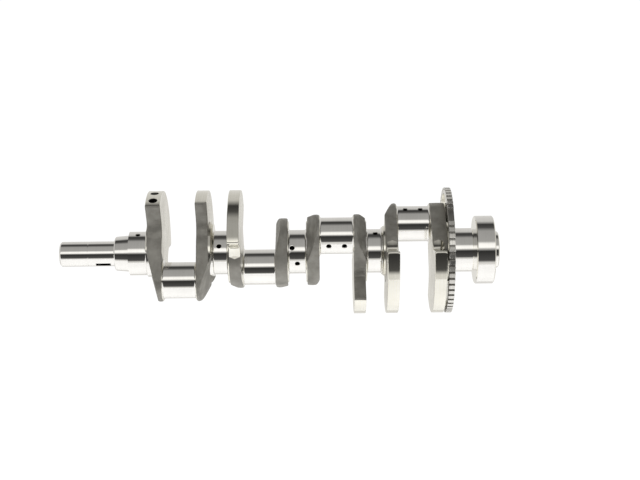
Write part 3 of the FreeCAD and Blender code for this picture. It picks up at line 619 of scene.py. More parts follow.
def lathe(
    profile: np.ndarray, start: float = 0.0, offset: tuple[float, float] = (0.0, 0.0),
    segments: int = SEGMENTS
) -> np.ndarray:
    """A profile carried round an axis along X: at angle a, a profile point (x, r) goes to (x, -r sin a, r cos a).

    Args:
        profile: x and radius of each point.
        start: Angle of the first column.
        offset: y and z of the axis.
        segments: Columns round the axis.

    Returns:
        The grid of points, by profile point and column.
    """
    turn = start + np.arange(segments) * 360 / segments
    y, z = around(turn[None, :], profile[:, 1:2])
    x = np.broadcast_to(profile[:, 0:1], y.shape)
    return np.stack([x, y + offset[0], z + offset[1]], axis=-1)


def finish_piece(thing: bpy.types.Object, node: str, body: str = "crank") -> None:
    """Lets a piece ride on its body and stand for its CAD node, which it hides.

    Args:
        thing: The piece.
        node: The CAD node that it stands for.
        body: The body that it rides on.
    """
    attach(thing, body)
    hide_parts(node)
    LOG.info("%s: %d faces, stands for %s", thing.name, len(thing.data.polygons), node)


def span_of(node: str) -> tuple[float, float]:
    """Front and rear end of a CAD node along the main axis, in millimetres."""
    low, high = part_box(node)
    return low.x / MM, high.x / MM


# ---------------------------------------------------------------- turned parts

Corner = tuple[float, float, float]


@dataclass(frozen=True)
class Opening:
    """Where a hole breaks through a turned surface.

    Attributes:
        hole: The hole.
        low: The profile point at one edge of the block that is left open for it.
        high: The profile point at the other edge.
        turn: Direction of the hole about the turned surface's axis.
        half: Columns on each side of the middle one.
    """

    hole: Hole
    low: tuple[float, float]
    high: tuple[float, float]
    turn: float
    half: int = 7


@dataclass
class Turning:
    """A closed surface turned about an axis along X.

    A profile point (x, r) goes to (x, y0 - r sin a, z0 + r cos a) at angle a. Each run of the profile has its own
    finish, and starts where the last one ends.

    Attributes:
        runs: The finish and the corners of each run.
        openings: The holes through it.
        start: Angle of the first column.
        offset: The axis's own y and z.
        longest: Longest piece of a straight run.
    """

    runs: list[tuple[Skin, list[Corner]]]
    openings: list[Opening] = field(default_factory=list)
    start: float = 0.0
    offset: tuple[float, float] = (0.0, 0.0)
    longest: float = 4.0

    def stationed(self, profile: np.ndarray) -> np.ndarray:
        """Adds a profile point at each opening's edges, and so that no straight piece is long.

        Args:
            profile: The points of one run.

        Returns:
            The run with its further points.
        """
        marks = np.array([mark for opening in self.openings for mark in (opening.low, opening.high)])
        points = [profile[:1]]
        for start, stop in zip(profile, profile[1:]):
            way = stop - start
            size = float(np.hypot(*way))
            shares = {0.0, 1.0}
            if size > 1e-9 and len(marks):
                share = (marks - start) @ way / size**2
                off = np.linalg.norm(start + share[:, None] * way - marks, axis=1)
                shares |= set(share[(off < 1e-3) & (share > 0) & (share < 1)].tolist())
            ordered = sorted(shares)
            longest = self.longest if min(start[1], stop[1]) > 0 else size + 1
            for low, high in zip(ordered, ordered[1:]):
                inner = len(ordered) > 2 and (high - low) * size < 16
                pieces = max(1, math.ceil((high - low) * size / (1.2 if inner else longest)))
                points.append(start + np.linspace(low, high, pieces + 1)[1:, None] * way)
        return np.concatenate(points)

    def add_to(self, surface: Surface) -> None:
        """Adds the turned surface and its holes to a surface.

        Args:
            surface: The surface that takes the new grids.
        """
        profiles, tints, last = [], [], None
        for skin, corners in self.runs:
            corners = corners if last is None else [(*last, 0.0), *corners]
            profile = self.stationed(rounded(corners))
            tints += [surface.skins.index(skin)] * (len(profile) - 1)
            profiles.append(profile if last is None else profile[1:])
            last = tuple(profile[-1])
        profile = np.concatenate(profiles)
        grid = lathe(profile, self.start, self.offset)
        blocks = []
        for opening in self.openings:
            ends = (opening.low, opening.high)
            rows = [int(np.argmin(np.linalg.norm(profile - np.array(end), axis=1))) for end in ends]
            middle = round((opening.turn - self.start) * SEGMENTS / 360)
            blocks.append((min(rows), max(rows), middle - opening.half, middle + opening.half))
        surface.start_shell()
        surface.add_grid(grid, np.array(tints)[:, None], blocks=blocks)
        for block, opening in zip(blocks, self.openings):
            skin = surface.skins[tints[block[0]]]
            surface.add_hole(grid, block, opening.hole, skin)


def journal_openings(
    radius: float, holes: Sequence[tuple[float, float]], offset: tuple[float, float]
) -> list[Opening]:
    """The oil drillings of a journal.

    Args:
        radius: The journal's radius.
        holes: Place along the axis and direction of each drilling.
        offset: The y and z of the journal's axis.

    Returns:
        The openings.
    """
    half = 9 if radius < 30 else 8
    return [
        Opening(
            radial_hole(x, turn, radius, OIL_DIA, OIL_DEPTH, OIL_MOUTH, Skin.GROUND, offset),
            (x - OIL_BLOCK, radius), (x + OIL_BLOCK, radius), turn, half,
        )
        for x, turn in holes
    ]


@dataclass
class Journal:
    """A ground journal with rolled fillets and oil drillings.

    Attributes:
        node: The CAD node that it stands for.
        radius: Radius of the ground surface.
        holes: Place along the axis and direction of each oil drilling.
        turn: Direction of its axis from the main axis.
        throw: Distance of its axis from the main axis.
        fillets: Whether its front and rear ends have a fillet.
    """

    node: str
    radius: float
    holes: list[tuple[float, float]]
    turn: float = 0.0
    throw: float = 0.0
    fillets: tuple[bool, bool] = (True, True)

    def build(self, paint: dict[Skin, bpy.types.Material]) -> None:
        """Builds the journal.

        The profile runs from the axis up the front end, down the front fillet, along the ground surface, and up the
        rear fillet to the rear end.

        Args:
            paint: The finishes' materials.
        """
        front, rear = span_of(self.node)
        flare = self.radius + JOURNAL_FILLET
        head = [(front, 0, 0), (front, flare if self.fillets[0] else self.radius, 0)]
        body = [(front, self.radius, JOURNAL_FILLET)] if self.fillets[0] else []
        tail = [
            (rear, self.radius, JOURNAL_FILLET), (rear, flare, 0)
        ] if self.fillets[1] else [(rear, self.radius, 0)]
        offset = tuple(float(v) for v in around(self.turn, self.throw))
        runs = [(Skin.GROUND, head + body + tail + [(rear, 0, 0)])]
        start = self.holes[0][1] if self.holes else 0.0
        surface = Surface([Skin.GROUND, Skin.HOLE_SHADE])
        Turning(runs, journal_openings(self.radius, self.holes, offset), start, offset).add_to(surface)
        finish_piece(surface.build(f"ground_{self.node}", paint), self.node)


@dataclass
class Snout:
    """The damper's seat with its key slot and threaded bolt hole, and the tapered gear seat behind it."""

    radius: float = 18.6
    key_turn: float = 150.0

    def build(self, paint: dict[Skin, bpy.types.Material]) -> None:
        """Builds both seats."""
        self.build_snout(paint)
        self.build_gear_seat(paint)

    def build_snout(self, paint: dict[Skin, bpy.types.Material]) -> None:
        """Builds the snout: the profile starts at the bottom of the bolt hole and comes out of its mouth.

        Args:
            paint: The finishes' materials.
        """
        front, rear = span_of("snout")
        radius, core, pitch = self.radius, 7.0, 2.0
        turns = np.arange(front + 5, front + 53, pitch)
        crests = np.stack([turns[::-1] + pitch / 2, turns[::-1]], axis=1).ravel()
        thread = [(float(x), core + (0.0 if i % 2 else 0.9), 0.0) for i, x in enumerate(crests)]
        bore = [
            (front + 55, 0, 0), (front + 54, core, 0), *thread, (front + 4, core, 0), (front + 0.3, 10.7, 0)
        ]
        nose = [(front, 11.1, 0), (front, radius - 2.4, 0.4)]
        seat = [
            (front + 2.4, radius, 0.8), (-310.6, radius, 0), (-310.5, radius - 0.7, 0.2),
            (-309.5, radius - 0.7, 0.2)
        ]
        seat += [(-309.4, radius, 0), (rear, radius, 0)]
        slot_x, out = (-298.5 - 277.0) / 2, np.array([0.0, *around(self.key_turn, 1.0)])
        slot = Slot(
            np.array([slot_x, 0.0, 0.0]), np.array([1.0, 0.0, 0.0]),
            np.array([0.0, *around(self.key_turn + 90, 1.0)]), out,
            lambda a, b: np.sqrt(radius**2 - b**2),
            [(-0.25, 0.0), (0.0, 18.05), (0.0, 15.3), (0.3, 15.0), (3.2, 15.0)],
            Skin.MILLED, (10.75, 3.2),
        )
        opening = Opening(slot, (-300.0, radius), (-275.5, radius), self.key_turn, 8)
        # The threaded bore takes the near-black painted shade of a hole.
        runs = [(Skin.HOLE_SHADE, bore), (Skin.TURNED, nose), (Skin.GROUND, seat), (Skin.TURNED, [(rear, 0, 0)])]
        surface = Surface([Skin.HOLE_SHADE, Skin.TURNED, Skin.GROUND, Skin.MILLED])
        Turning(runs, [opening], self.key_turn).add_to(surface)
        finish_piece(surface.build("snout_seat", paint), "snout")

    def build_gear_seat(self, paint: dict[Skin, bpy.types.Material]) -> None:
        """Builds the tapered gear seat.

        Args:
            paint: The finishes' materials.
        """
        front, rear = span_of("gear_seat")
        corners = [(front, 25.3 - 1.4, 0.3), (front + 1.4, 25.3, 0.6), (rear, 27.05, 0)]
        surface = Surface([Skin.TURNED, Skin.GROUND])
        runs = [
            (Skin.TURNED, [(front, 0, 0), corners[0]]), (Skin.GROUND, corners[1:]),
            (Skin.TURNED, [(rear, 0, 0)])
        ]
        Turning(runs).add_to(surface)
        finish_piece(surface.build("gear_seat_taper", paint), "gear_seat")


# ---------------------------------------------------------------- cheeks and counterweights


def soft_cut(depth: np.ndarray, ease: float = 1.0) -> np.ndarray:
    """A cut that starts gently: max(depth, 0), rounded off within ease of zero by (ease - |depth|)^2 / (4 ease)."""
    return np.maximum(depth, 0) + np.maximum(ease - np.abs(depth), 0) ** 2 / (4 * ease)


@dataclass
class Weight:
    """The counterweight of a cheek.

    Attributes:
        start: Angle from the crankpin's direction where it starts.
        span: Angle that it covers.
        start_fillet: Fillet where its first flank meets the waist.
        relief: How far it stands back from the cheek's main side.
        holes: Angles of balance drillings in its rim.
        flanks: Finish of its two flanks.
    """

    start: float
    span: float
    start_fillet: float = 24.0
    relief: float = 0.8
    holes: tuple[float, ...] = ()
    flanks: Skin = Skin.FORGED


@dataclass
class Cheek:
    """A cheek of the crankshaft: a forged web between a main journal and a crankpin.

    All its shells are laid out by depth below the main side, and by y and z. The web's outline is the hull of a
    circle about the crankpin and one about the main axis.

    Attributes:
        node: The CAD node that it stands for.
        turn: Direction of its crankpin from the main axis.
        main_x: Place of its main side.
        pin_x: Place of its crankpin side.
        boss: Height of the turned boss on the main side.
        boss_radius: Its radius.
        waist: Radius of the web about the main axis.
        bevel: Where the nose's bevel starts, and what it leaves of the thickness at the tip; None without one.
        heel: Whether a flat bevel crosses the heel on the crankpin side.
        weight: Its counterweight.
    """

    node: str
    turn: float
    main_x: float
    pin_x: float
    boss: float = 1.6
    boss_radius: float = 45.5
    waist: float = 46.0
    bevel: tuple[float, float] | None = (36.0, 3.6)
    heel: bool = False
    weight: Weight | None = None

    THROW, NOSE, RIM, EDGE, DRAFT, LIP = 46.0, 31.2, 92.7, 1.5, 0.3, 2.6

    @property
    def length(self) -> float:
        """Thickness of the web."""
        return abs(self.pin_x - self.main_x)

    def across(self, flat: np.ndarray, turn: float) -> np.ndarray:
        """Distance of points (y, z) from the main axis in a direction counted from the crankpin's."""
        y, z = around(self.turn + turn, 1.0)
        return flat[..., 0] * y + flat[..., 1] * z

    def lean(self) -> float:
        """How much deeper the nose's bevel gets per millimetre away from the main axis."""
        start, rim = self.bevel
        return (self.length - rim) / (self.THROW + self.NOSE - start)

    def main_depth(self, flat: np.ndarray) -> np.ndarray:
        """Depth of the main side at points (y, z): zero, and on the bevel lean * (distance - start), eased in.

        Args:
            flat: Points (y, z).

        Returns:
            The depth at each point.
        """
        if self.bevel is None:
            return np.zeros(flat.shape[:-1])
        return soft_cut((self.across(flat, 0) - self.bevel[0]) * self.lean())

    def pin_depth(self, flat: np.ndarray) -> np.ndarray:
        """Depth of the crankpin side at points (y, z).

        Args:
            flat: Points (y, z).

        Returns:
            The depth at each point.
        """
        cut = (
            self.across(flat, 154.0) - 20.6
        ) * 7.7 / (50.0 - 20.6) if self.heel else np.full(flat.shape[:-1], -9.0)
        return self.length - soft_cut(cut)

    def solid(self, depth: np.ndarray, flat: np.ndarray) -> np.ndarray:
        """Points from depths below the main side and (y, z)."""
        side = math.copysign(1.0, self.pin_x - self.main_x)
        return np.concatenate([(self.main_x + side * depth)[..., None], flat], axis=-1)

    def polar(self, turn: np.ndarray, radius: np.ndarray | float) -> np.ndarray:
        """Points (y, z) at angles from the crankpin's direction and radii."""
        return np.stack(around(self.turn + np.asarray(turn), radius), axis=-1)

    def web_outline(self) -> tuple[np.ndarray, np.ndarray, np.ndarray]:
        """The web's outline by the direction of its outward normal.

        For the hull of circles of radius n at distance d and w at the axis, the tangent lines' normals stand at
        plus and minus acos((w - n) / d) from the crankpin's direction.

        Returns:
            The outline's points, its outward normals and the normals' angles, from the crankpin's direction.
        """
        limit = math.degrees(math.acos((self.waist - self.NOSE) / self.THROW))
        nose, heel = np.linspace(-limit, limit, 81), np.linspace(limit, 360 - limit, 121)
        angle = np.concatenate([nose, np.full(14, limit), heel, np.full(14, -limit)])
        centre = np.concatenate(
            [np.ones(81), np.linspace(1, 0, 16)[1:-1], np.zeros(121), np.linspace(0, 1, 16)[1:-1]]
        )
        normal = self.polar(angle, 1.0)
        middle = self.polar(np.zeros_like(angle), self.THROW) * centre[:, None]
        radius = self.waist + (self.NOSE - self.waist) * centre
        return middle + normal * radius[:, None], normal, (angle + 180) % 360 - 180

    def edge_share(self, angle: np.ndarray) -> np.ndarray:
        """How rounded the web's edges are at each normal angle: not at all where the counterweight joins it.

        Args:
            angle: The normals' angles, from the crankpin's direction.

        Returns:
            A share from 0 to 1 at each normal.
        """
        if self.weight is None:
            return np.ones_like(angle)
        middle = self.weight.start + self.weight.span / 2
        off = np.abs((angle - middle + 180) % 360 - 180)
        reach = self.weight.span / 2 + math.degrees(math.asin(24.0 / (self.waist + 24.0)))
        return np.clip((off - reach + 10) / 6, 0, 1)

    def add_web(self, surface: Surface) -> None:
        """Adds the web: rings grow from a point inside the main side to its edge, cross the wall and shrink again.

        Near each edge the wall is inset by e (1 - sin t) and stands e (1 - cos t) below the side, for t from 0 to
        90 degrees. Between them it bulges by the forging draft.

        Args:
            surface: The surface that takes the new grids.
        """
        outline, normal, angle = self.web_outline()
        share = self.edge_share(angle)
        share, edge = share[:, None], self.EDGE * share[:, None]
        middle = self.polar(np.zeros(1), self.THROW / 2)
        quarter = np.radians(np.arange(0, 91, 15))
        rows = []
        inner = outline - normal * (edge + self.DRAFT * share)
        for scale in np.concatenate([np.linspace(0, 0.9, 19), [0.93, 0.96, 0.985]]):
            flat = middle + (inner - middle) * scale
            rows.append(self.solid(self.main_depth(flat), flat))
        for t in quarter:
            flat = outline - normal * (edge * (1 - math.sin(t)) + self.DRAFT * share)
            rows.append(self.solid(self.main_depth(flat) + edge[:, 0] * (1 - math.cos(t)), flat))
        low, high = self.main_depth(outline) + edge[:, 0], self.pin_depth(outline) - edge[:, 0]
        for level in (0.2, 0.4, 0.5, 0.6, 0.8):
            flat = outline - normal * self.DRAFT * share * (2 * level - 1) ** 2
            rows.append(self.solid(low + (high - low) * level, flat))
        for t in quarter[::-1]:
            flat = outline - normal * (edge * (1 - math.sin(t)) + self.DRAFT * share)
            rows.append(self.solid(self.pin_depth(flat) - edge[:, 0] * (1 - math.cos(t)), flat))
        for scale in np.concatenate([[0.985, 0.96, 0.93], np.linspace(0.9, 0, 19)]):
            flat = middle + (inner - middle) * scale
            rows.append(self.solid(self.pin_depth(flat), flat))
        web = np.stack(rows)
        forged, face = surface.skins.index(Skin.FORGED), surface.skins.index(Skin.FACE)
        flat = web[..., 1:]
        cut = np.maximum(self.main_depth(flat), self.length - self.pin_depth(flat)) > 0.25
        tint = np.where(cut, forged, face)[1:]
        tint[22:-22] = forged
        surface.start_shell()
        surface.add_grid(web, tint)

    def flank(self, radius: np.ndarray, fillet: float, inset: np.ndarray) -> np.ndarray:
        """How far inside the flank's radial line its surface lies at each radius, as an angle in degrees.

        On the straight part the angle is asin(inset / r). On the fillet of radius f about a point at w + f, it is
        the angle where the circle of radius f + inset crosses radius r, less the angle of that point.

        Args:
            radius: Radii to work at.
            fillet: Radius of the fillet at the flank's foot.
            inset: How far the flank is drawn in.

        Returns:
            The angles.
        """
        reach = self.waist + fillet
        straight = np.degrees(np.arcsin(np.clip(inset / radius, -1, 1)))
        cosine = (radius**2 + reach**2 - (fillet + inset) ** 2) / (2 * radius * reach)
        curved = np.degrees(np.arccos(np.clip(cosine, -1, 1)) - math.asin(fillet / reach))
        tangent = np.sqrt(reach**2 - fillet**2 + inset**2)
        return np.where(radius < tangent, curved, straight)

    def weight_grid(self, rim_inset: float, flank_inset: float) -> np.ndarray:
        """The counterweight's outline filled with a grid: rows by radius, columns from flank to flank.

        Where the flanks meet the rim they are rounded by a quarter circle of radius LIP.

        Args:
            rim_inset: How far the rim is drawn in.
            flank_inset: How far the flanks are drawn in.

        Returns:
            The points (y, z) by row and column. The third row lies on the waist.
        """
        weight = self.weight
        top = self.RIM - rim_inset
        lip = self.LIP * np.sin(np.radians([0, 20, 40, 55, 68, 80, 90]))
        outer = np.linspace(self.waist, top - self.LIP, 24)[:-1]
        radius = np.concatenate([[self.waist - 6, self.waist - 3], outer, top - self.LIP + lip])
        held = np.maximum(radius, self.waist)
        over = np.maximum(radius - top + self.LIP, 0)
        rounding = self.LIP - np.sqrt(np.maximum(self.LIP**2 - over**2, 0))
        first = weight.start + self.flank(held, weight.start_fillet, flank_inset + rounding)
        last = weight.start + weight.span - self.flank(held, 24.0, flank_inset + rounding)
        column = np.linspace(0, 1, 109)
        return self.polar(first[:, None] + (last - first)[:, None] * column, radius[:, None])

    def add_weight(self, surface: Surface) -> None:
        """Adds the counterweight: a face on each side and a wall round them, drawn in towards its edges.

        Args:
            surface: The surface that takes the new grids.
        """
        weight = self.weight
        low, high = weight.relief, self.length
        rows, columns = self.weight_grid(0, 0).shape[:2]
        row = np.concatenate([
            np.zeros(columns), np.arange(1, rows), np.full(columns - 1, rows - 1), np.arange(rows - 2, 0, -1)
        ])
        column = np.concatenate([
            np.arange(columns), np.full(rows - 1, columns - 1), np.arange(columns - 2, -1, -1), np.zeros(rows - 2)
        ])
        row, column = row.astype(int), column.astype(int)
        on_rim, hidden = row == rows - 1, row < 2
        edge = np.where(on_rim, 0.9, np.where(hidden, 0.0, self.EDGE))
        edge[on_rim & ((column == 0) | (column == columns - 1))] = 1.1
        sunk = np.where(hidden, (2 - row) * 0.9, 0.0)
        wall = []
        steps = [(0, 0.0), (0, 0.25), (0, 0.5), (0, 0.75), (0, 1.0)]
        steps += [(1, f) for f in np.linspace(0.1, 0.9, 9)] + [
            (2, 1.0), (2, 0.75), (2, 0.5), (2, 0.25), (2, 0.0)
        ]
        for part, share in steps:
            t = math.radians(90) if part == 1 else math.radians(90) * share
            draft = self.DRAFT * ((2 * share - 1) ** 2 if part == 1 else 1.0)
            grid = self.weight_grid(0.9 * (1 - math.sin(t)), self.EDGE * (1 - math.sin(t)) + draft)
            flat = grid[row, column]
            drop = edge * (1 - math.cos(t))
            top, bottom = low + sunk + drop, high - sunk - drop
            depth = top if part == 0 else bottom if part == 2 else top + (bottom - top) * share
            wall.append(self.solid(depth, flat))
        tint = np.where(
            on_rim & np.roll(on_rim, -1), surface.skins.index(Skin.TURNED), surface.skins.index(weight.flanks)
        )
        wall = np.stack(wall)
        holes, blocks = [], []
        for turn in weight.holes:
            x = self.main_x + math.copysign((self.length + weight.relief) / 2, self.pin_x - self.main_x)
            hole = radial_hole(x, self.turn + turn, self.RIM, 12.2, 19.0, 0.5, Skin.TURNED)
            middle = wall[len(wall) // 2]
            near = int(np.argmin(np.linalg.norm(middle - (hole.centre + self.RIM * hole.outwards), axis=1)))
            blocks.append((5, len(wall) - 6, near - 5, near + 5))
            holes.append(hole)
        surface.start_shell()
        surface.add_grid(wall, np.broadcast_to(tint, (len(wall) - 1, len(tint))), blocks=blocks)
        for block, hole in zip(blocks, holes):
            surface.add_hole(wall, block, hole, Skin.TURNED)
        face = self.weight_grid(0.9, self.EDGE + self.DRAFT)
        sink = np.zeros(face.shape[:2])
        sink[:2] = np.array([1.8, 0.9])[:, None]
        for depth in (low + sink, high - sink):
            surface.add_grid(self.solid(depth, face), Skin.FACE, closed=False)

    def add_ring(
        self, surface: Surface, centre: float, radius: float, height: float, outwards: float, skin: Skin
    ) -> None:
        """Adds a turned ring face that stands out of a side, with a chamfer of half its height.

        Args:
            surface: The surface to add to.
            centre: Distance of its axis from the main axis, towards the crankpin.
            radius: Its radius.
            height: Its height.
            outwards: -1 on the main side and 1 on the crankpin side.
            skin: Its finish.
        """
        foot = 0.0 if outwards < 0 else self.length
        top = foot + outwards * height
        corners = [
            (foot - outwards * 2, 0, 0), (foot - outwards * 2, radius, 0),
            (foot + outwards * height / 2, radius, 0)
        ]
        corners += [(top, radius - height / 2, 0), (top, 0, 0)]
        profile = Turning([(skin, corners)], longest=1.6).stationed(rounded(corners))
        extra = np.linspace(radius - height / 2, 0, 24)[1:-1]
        profile = np.concatenate([profile[:-1], np.stack([np.full(22, top), extra], axis=1), profile[-1:]])
        grid = lathe(profile, offset=tuple(float(v) for v in around(self.turn, centre)))
        depth, flat = grid[..., 0], grid[..., 1:]
        tint = np.full((grid.shape[0] - 1, grid.shape[1]), surface.skins.index(skin))
        if outwards < 0 and self.bevel is not None:
            cut = (self.across(flat, 0) - self.bevel[0]) * self.lean() + 0.05
            tint[(cut > depth + 0.2)[1:]] = surface.skins.index(Skin.FORGED)
            depth = depth + soft_cut(cut - depth, 0.3)
        surface.start_shell()
        surface.add_grid(self.solid(depth, flat), tint)

    def build(self, paint: dict[Skin, bpy.types.Material]) -> None:
        """Builds the web, its turned rings and its counterweight as one piece.

        Args:
            paint: The finishes' materials.
        """
        surface = Surface([Skin.FORGED, Skin.TURNED, Skin.FACE, Skin.HOLE_SHADE, Skin.GROUND])
        self.add_web(surface)
        self.add_ring(surface, self.THROW, 30.0, 0.9, 1, Skin.TURNED)
        if self.bevel is None:
            self.add_seat(surface)
        else:
            self.add_ring(surface, 0.0, self.boss_radius, self.boss, -1, Skin.TURNED)
            self.add_root(surface)
        if self.weight is not None:
            self.add_weight(surface)
        finish_piece(surface.build(f"forged_{self.node}", paint), self.node)

    def add_root(self, surface: Surface) -> None:
        """Adds the end of the main journal, which reaches through the boss down to the bevel.

        Args:
            surface: The surface that takes the new grids.
        """
        radius = 32.5 + JOURNAL_FILLET
        corners = [
            (self.length / 2, 0, 0), (self.length / 2, radius, 0), (0.02 - self.boss, radius, 0),
            (0.02 - self.boss, 0, 0)
        ]
        grid = lathe(np.array([corner[:2] for corner in corners], float))
        surface.start_shell()
        surface.add_grid(self.solid(grid[..., 0], grid[..., 1:]), Skin.GROUND)

    def add_seat(self, surface: Surface) -> None:
        """Adds the trigger wheel's seat, a turned disc on the main side.

        Args:
            surface: The surface that takes the new grids.
        """
        corners = [(2, 0, 0), (2, 45, 0), (-7.3, 45, 0), (-7.8, 44.5, 0), (-7.8, 0, 0)]
        grid = lathe(np.array([corner[:2] for corner in corners], float))
        surface.start_shell()
        surface.add_grid(self.solid(grid[..., 0], grid[..., 1:]), Skin.TURNED)


# ---------------------------------------------------------------- rear end


@dataclass
class RearEnd:
    """The neck, the seal flange with its bolt holes, the hub, the dowel and the core plug."""

    bolts: int = 6
    bolt_radius: float = 39.5

    def build(self, paint: dict[Skin, bpy.types.Material]) -> None:
        """Builds the neck, flange, hub, dowel and plug.

        Args:
            paint: The finishes' materials.
        """
        front, rear = span_of("rear_neck")
        corners = [
            (front, 12.7, 0), (front, 29.2, 0), (front + 1.4, 29.2, 0.2), (front + 1.6, 31, 0), (rear, 31, 0)
        ]
        runs = [(Skin.TURNED, corners[:3]), (Skin.GROUND, corners[3:])]
        self.ring("rear_neck", [*runs, (Skin.TURNED, [(rear, 12.7, 0), corners[0]])], paint)
        self.build_flange(paint)
        front, rear = span_of("pilot_hub")
        corners = [
            (front, 21, 0), (front, 27, 0), (rear - 1.4, 27, 0.4), (rear, 25.6, 0.3), (rear, 21.7, 0.2),
            (rear - 0.7, 21, 0)
        ]
        self.ring("pilot_hub", [(Skin.GROUND, corners[:3]), (Skin.TURNED, [*corners[3:], corners[0]])], paint)
        front, rear = span_of("flange_dowel")
        corners = [
            (front, 0, 0), (front, 3.3, 0), (front + 0.7, 4, 0), (rear - 0.7, 4, 0.4), (rear, 3.3, 0.2),
            (rear, 0, 0)
        ]
        self.ring("flange_dowel", [(Skin.HARDENED, corners)], paint, (-90.0, self.bolt_radius))
        front, rear = span_of("core_plug")
        corners = [
            (front, 0, 0), (front, 11.5, 0.8), (front + 1.2, 12.7, 0.6), (rear, 12.7, 0), (rear, 11.5, 0)
        ]
        corners += [(front + 2.4, 11.5, 0.6), (front + 1.2, 10.3, 0.6), (front + 1.2, 0, 0)]
        self.ring("core_plug", [(Skin.ZINC, corners)], paint)

    def ring(self, node: str, runs: list[tuple[Skin, list[Corner]]], paint: dict[Skin, bpy.types.Material],
             place: tuple[float, float] = (0.0, 0.0), body: str = "crank") -> None:
        """Builds one turned piece.

        Args:
            node: The CAD node that it stands for.
            runs: The runs of its profile.
            paint: The finishes' materials.
            place: Angle and distance of its own axis.
            body: The body that it rides on.
        """
        surface = Surface(list(dict.fromkeys(skin for skin, _ in runs)))
        Turning(runs, offset=tuple(float(v) for v in around(*place))).add_to(surface)
        finish_piece(surface.build(f"turned_{node}", paint), node, body)

    def bolt_hole(self, turn: float, face: float) -> Opening:
        """One threaded hole of the flange, with its countersink.

        Args:
            turn: Angle of the hole about the main axis.
            face: Place of the flange's rear face.

        Returns:
            The opening in the flange's face.
        """
        thread = [(4.75 + (0.0 if i % 2 else 0.5), -1.75 - 0.75 * i) for i in range(24)]
        out, side = around(turn, 1.0), around(turn + 90, 1.0)
        hole = Hole(
            np.array([face, *around(turn, self.bolt_radius)]), np.array([0.0, *out]), np.array([0.0, *side]),
            np.array([1.0, 0.0, 0.0]), lambda a, b: np.zeros_like(a),
            [(5.75, 0.0), (4.75, -1.0), *thread, (4.75, -20.5), (0.0, -21.0)], Skin.TURNED,
        )
        return Opening(hole, (face, self.bolt_radius - 7.4), (face, self.bolt_radius + 7.4), turn, 7)

    def build_flange(self, paint: dict[Skin, bpy.types.Material]) -> None:
        """Builds the seal flange: its rim is ground for the oil seal, its rear face is turned.

        Args:
            paint: The finishes' materials.
        """
        front, rear = span_of("seal_flange")
        head = [(front, 12.7, 0), (front, 49.1, 0.5)]
        rim = [(front + 1.4, 50.5, 0.6), (rear - 1.4, 50.5, 0.6)]
        face = [(rear, 49.1, 0.4), (rear, 21, 0), (283, 21, 0), (283, 12.7, 0), (front, 12.7, 0)]
        surface = Surface([Skin.TURNED, Skin.GROUND, Skin.HOLE_SHADE])
        openings = [self.bolt_hole(360 / self.bolts * i, rear) for i in range(self.bolts)]
        runs = [(Skin.TURNED, head), (Skin.GROUND, rim), (Skin.TURNED, face)]
        Turning(runs, openings).add_to(surface)
        finish_piece(surface.build("ground_seal_flange", paint), "seal_flange")


@dataclass
class PilotBearing:
    """The pilot bearing: two rings, two shields, and the CAD model's own balls and cage.

    Attributes:
        ball_circle: Radius of the circle that the balls run on.
        track_radius: Radius of a raceway across its width.
        track_half: Half the width of a raceway.
        outer_land: Bore of the outer ring beside its raceway.
        inner_land: Radius of the inner ring beside its raceway.
        shield_bore: Radius of a shield's opening.
    """

    ball_circle: float = 14.25
    track_radius: float = 3.984
    track_half: float = 3.298
    outer_land: float = 16.484
    inner_land: float = 12.016
    shield_bore: float = 12.316

    def raceway(self, middle: float, depth_side: int) -> list[Corner]:
        """Corners along a raceway: x = m + R sin t and r = p + side R cos t, from its rear edge to its front.

        Args:
            middle: The middle of the bearing's width.
            depth_side: 1 for the outer ring and -1 for the inner ring.

        Returns:
            The corners.
        """
        reach = math.degrees(math.asin(self.track_half / self.track_radius))
        turn = np.radians(np.linspace(reach, -reach, 13))
        across = middle + self.track_radius * np.sin(turn)
        height = self.ball_circle + depth_side * self.track_radius * np.cos(turn)
        return [(float(x), float(r), 0.0) for x, r in zip(across, height)]

    def build(self, paint: dict[Skin, bpy.types.Material], rear_end: RearEnd) -> None:
        """Builds the rings and shields and dresses the balls and the cage.

        Args:
            paint: The finishes' materials.
            rear_end: The rear end, which turns the rings.
        """
        front, rear = span_of("pilot_bearing_outer_ring")
        middle = (front + rear) / 2
        corners = [
            (front, self.outer_land, 0), (front, 20.4, 0.2), (front + 0.6, 21, 0.3), (rear - 0.6, 21, 0.3),
            (rear, 20.4, 0.2)
        ]
        corners += [(rear, self.outer_land, 0), *self.raceway(middle, 1), (front, self.outer_land, 0)]
        rear_end.ring("pilot_bearing_outer_ring", [(Skin.BEARING, corners)], paint)
        corners = [
            (front, self.inner_land, 0), (front, 8.1, 0.2), (front + 0.6, 7.5, 0.3), (rear - 0.6, 7.5, 0.3),
            (rear, 8.1, 0.2)
        ]
        corners += [(rear, self.inner_land, 0), *self.raceway(middle, -1), (front, self.inner_land, 0)]
        rear_end.ring("pilot_bearing_inner_ring", [(Skin.BEARING, corners)], paint, body="inner_ring")
        for node, outwards in (("pilot_bearing_front_shield", -1), ("pilot_bearing_rear_shield", 1)):
            low, high = span_of(node)
            back, face = (low, high) if outwards > 0 else (high, low)
            dish = face - outwards * 0.25
            corners = [
                (back, self.shield_bore, 0), (face, self.shield_bore, 0), (face, 12.9, 0.1), (dish, 13.3, 0.1),
                (dish, 15.3, 0.1)
            ]
            corners += [(face, 15.7, 0.1), (face, self.outer_land, 0), (back, self.outer_land, 0)]
            corners += [(back, self.shield_bore, 0)]
            rear_end.ring(node, [(Skin.ZINC, corners)], paint)
        for node, skin in (("pilot_bearing_balls", Skin.BALL), ("pilot_bearing_cage", Skin.CAGE)):
            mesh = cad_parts[node].data
            mesh.materials.clear()
            mesh.materials.append(paint[skin])
            LOG.info("%s: carried over with %s", node, skin.value)


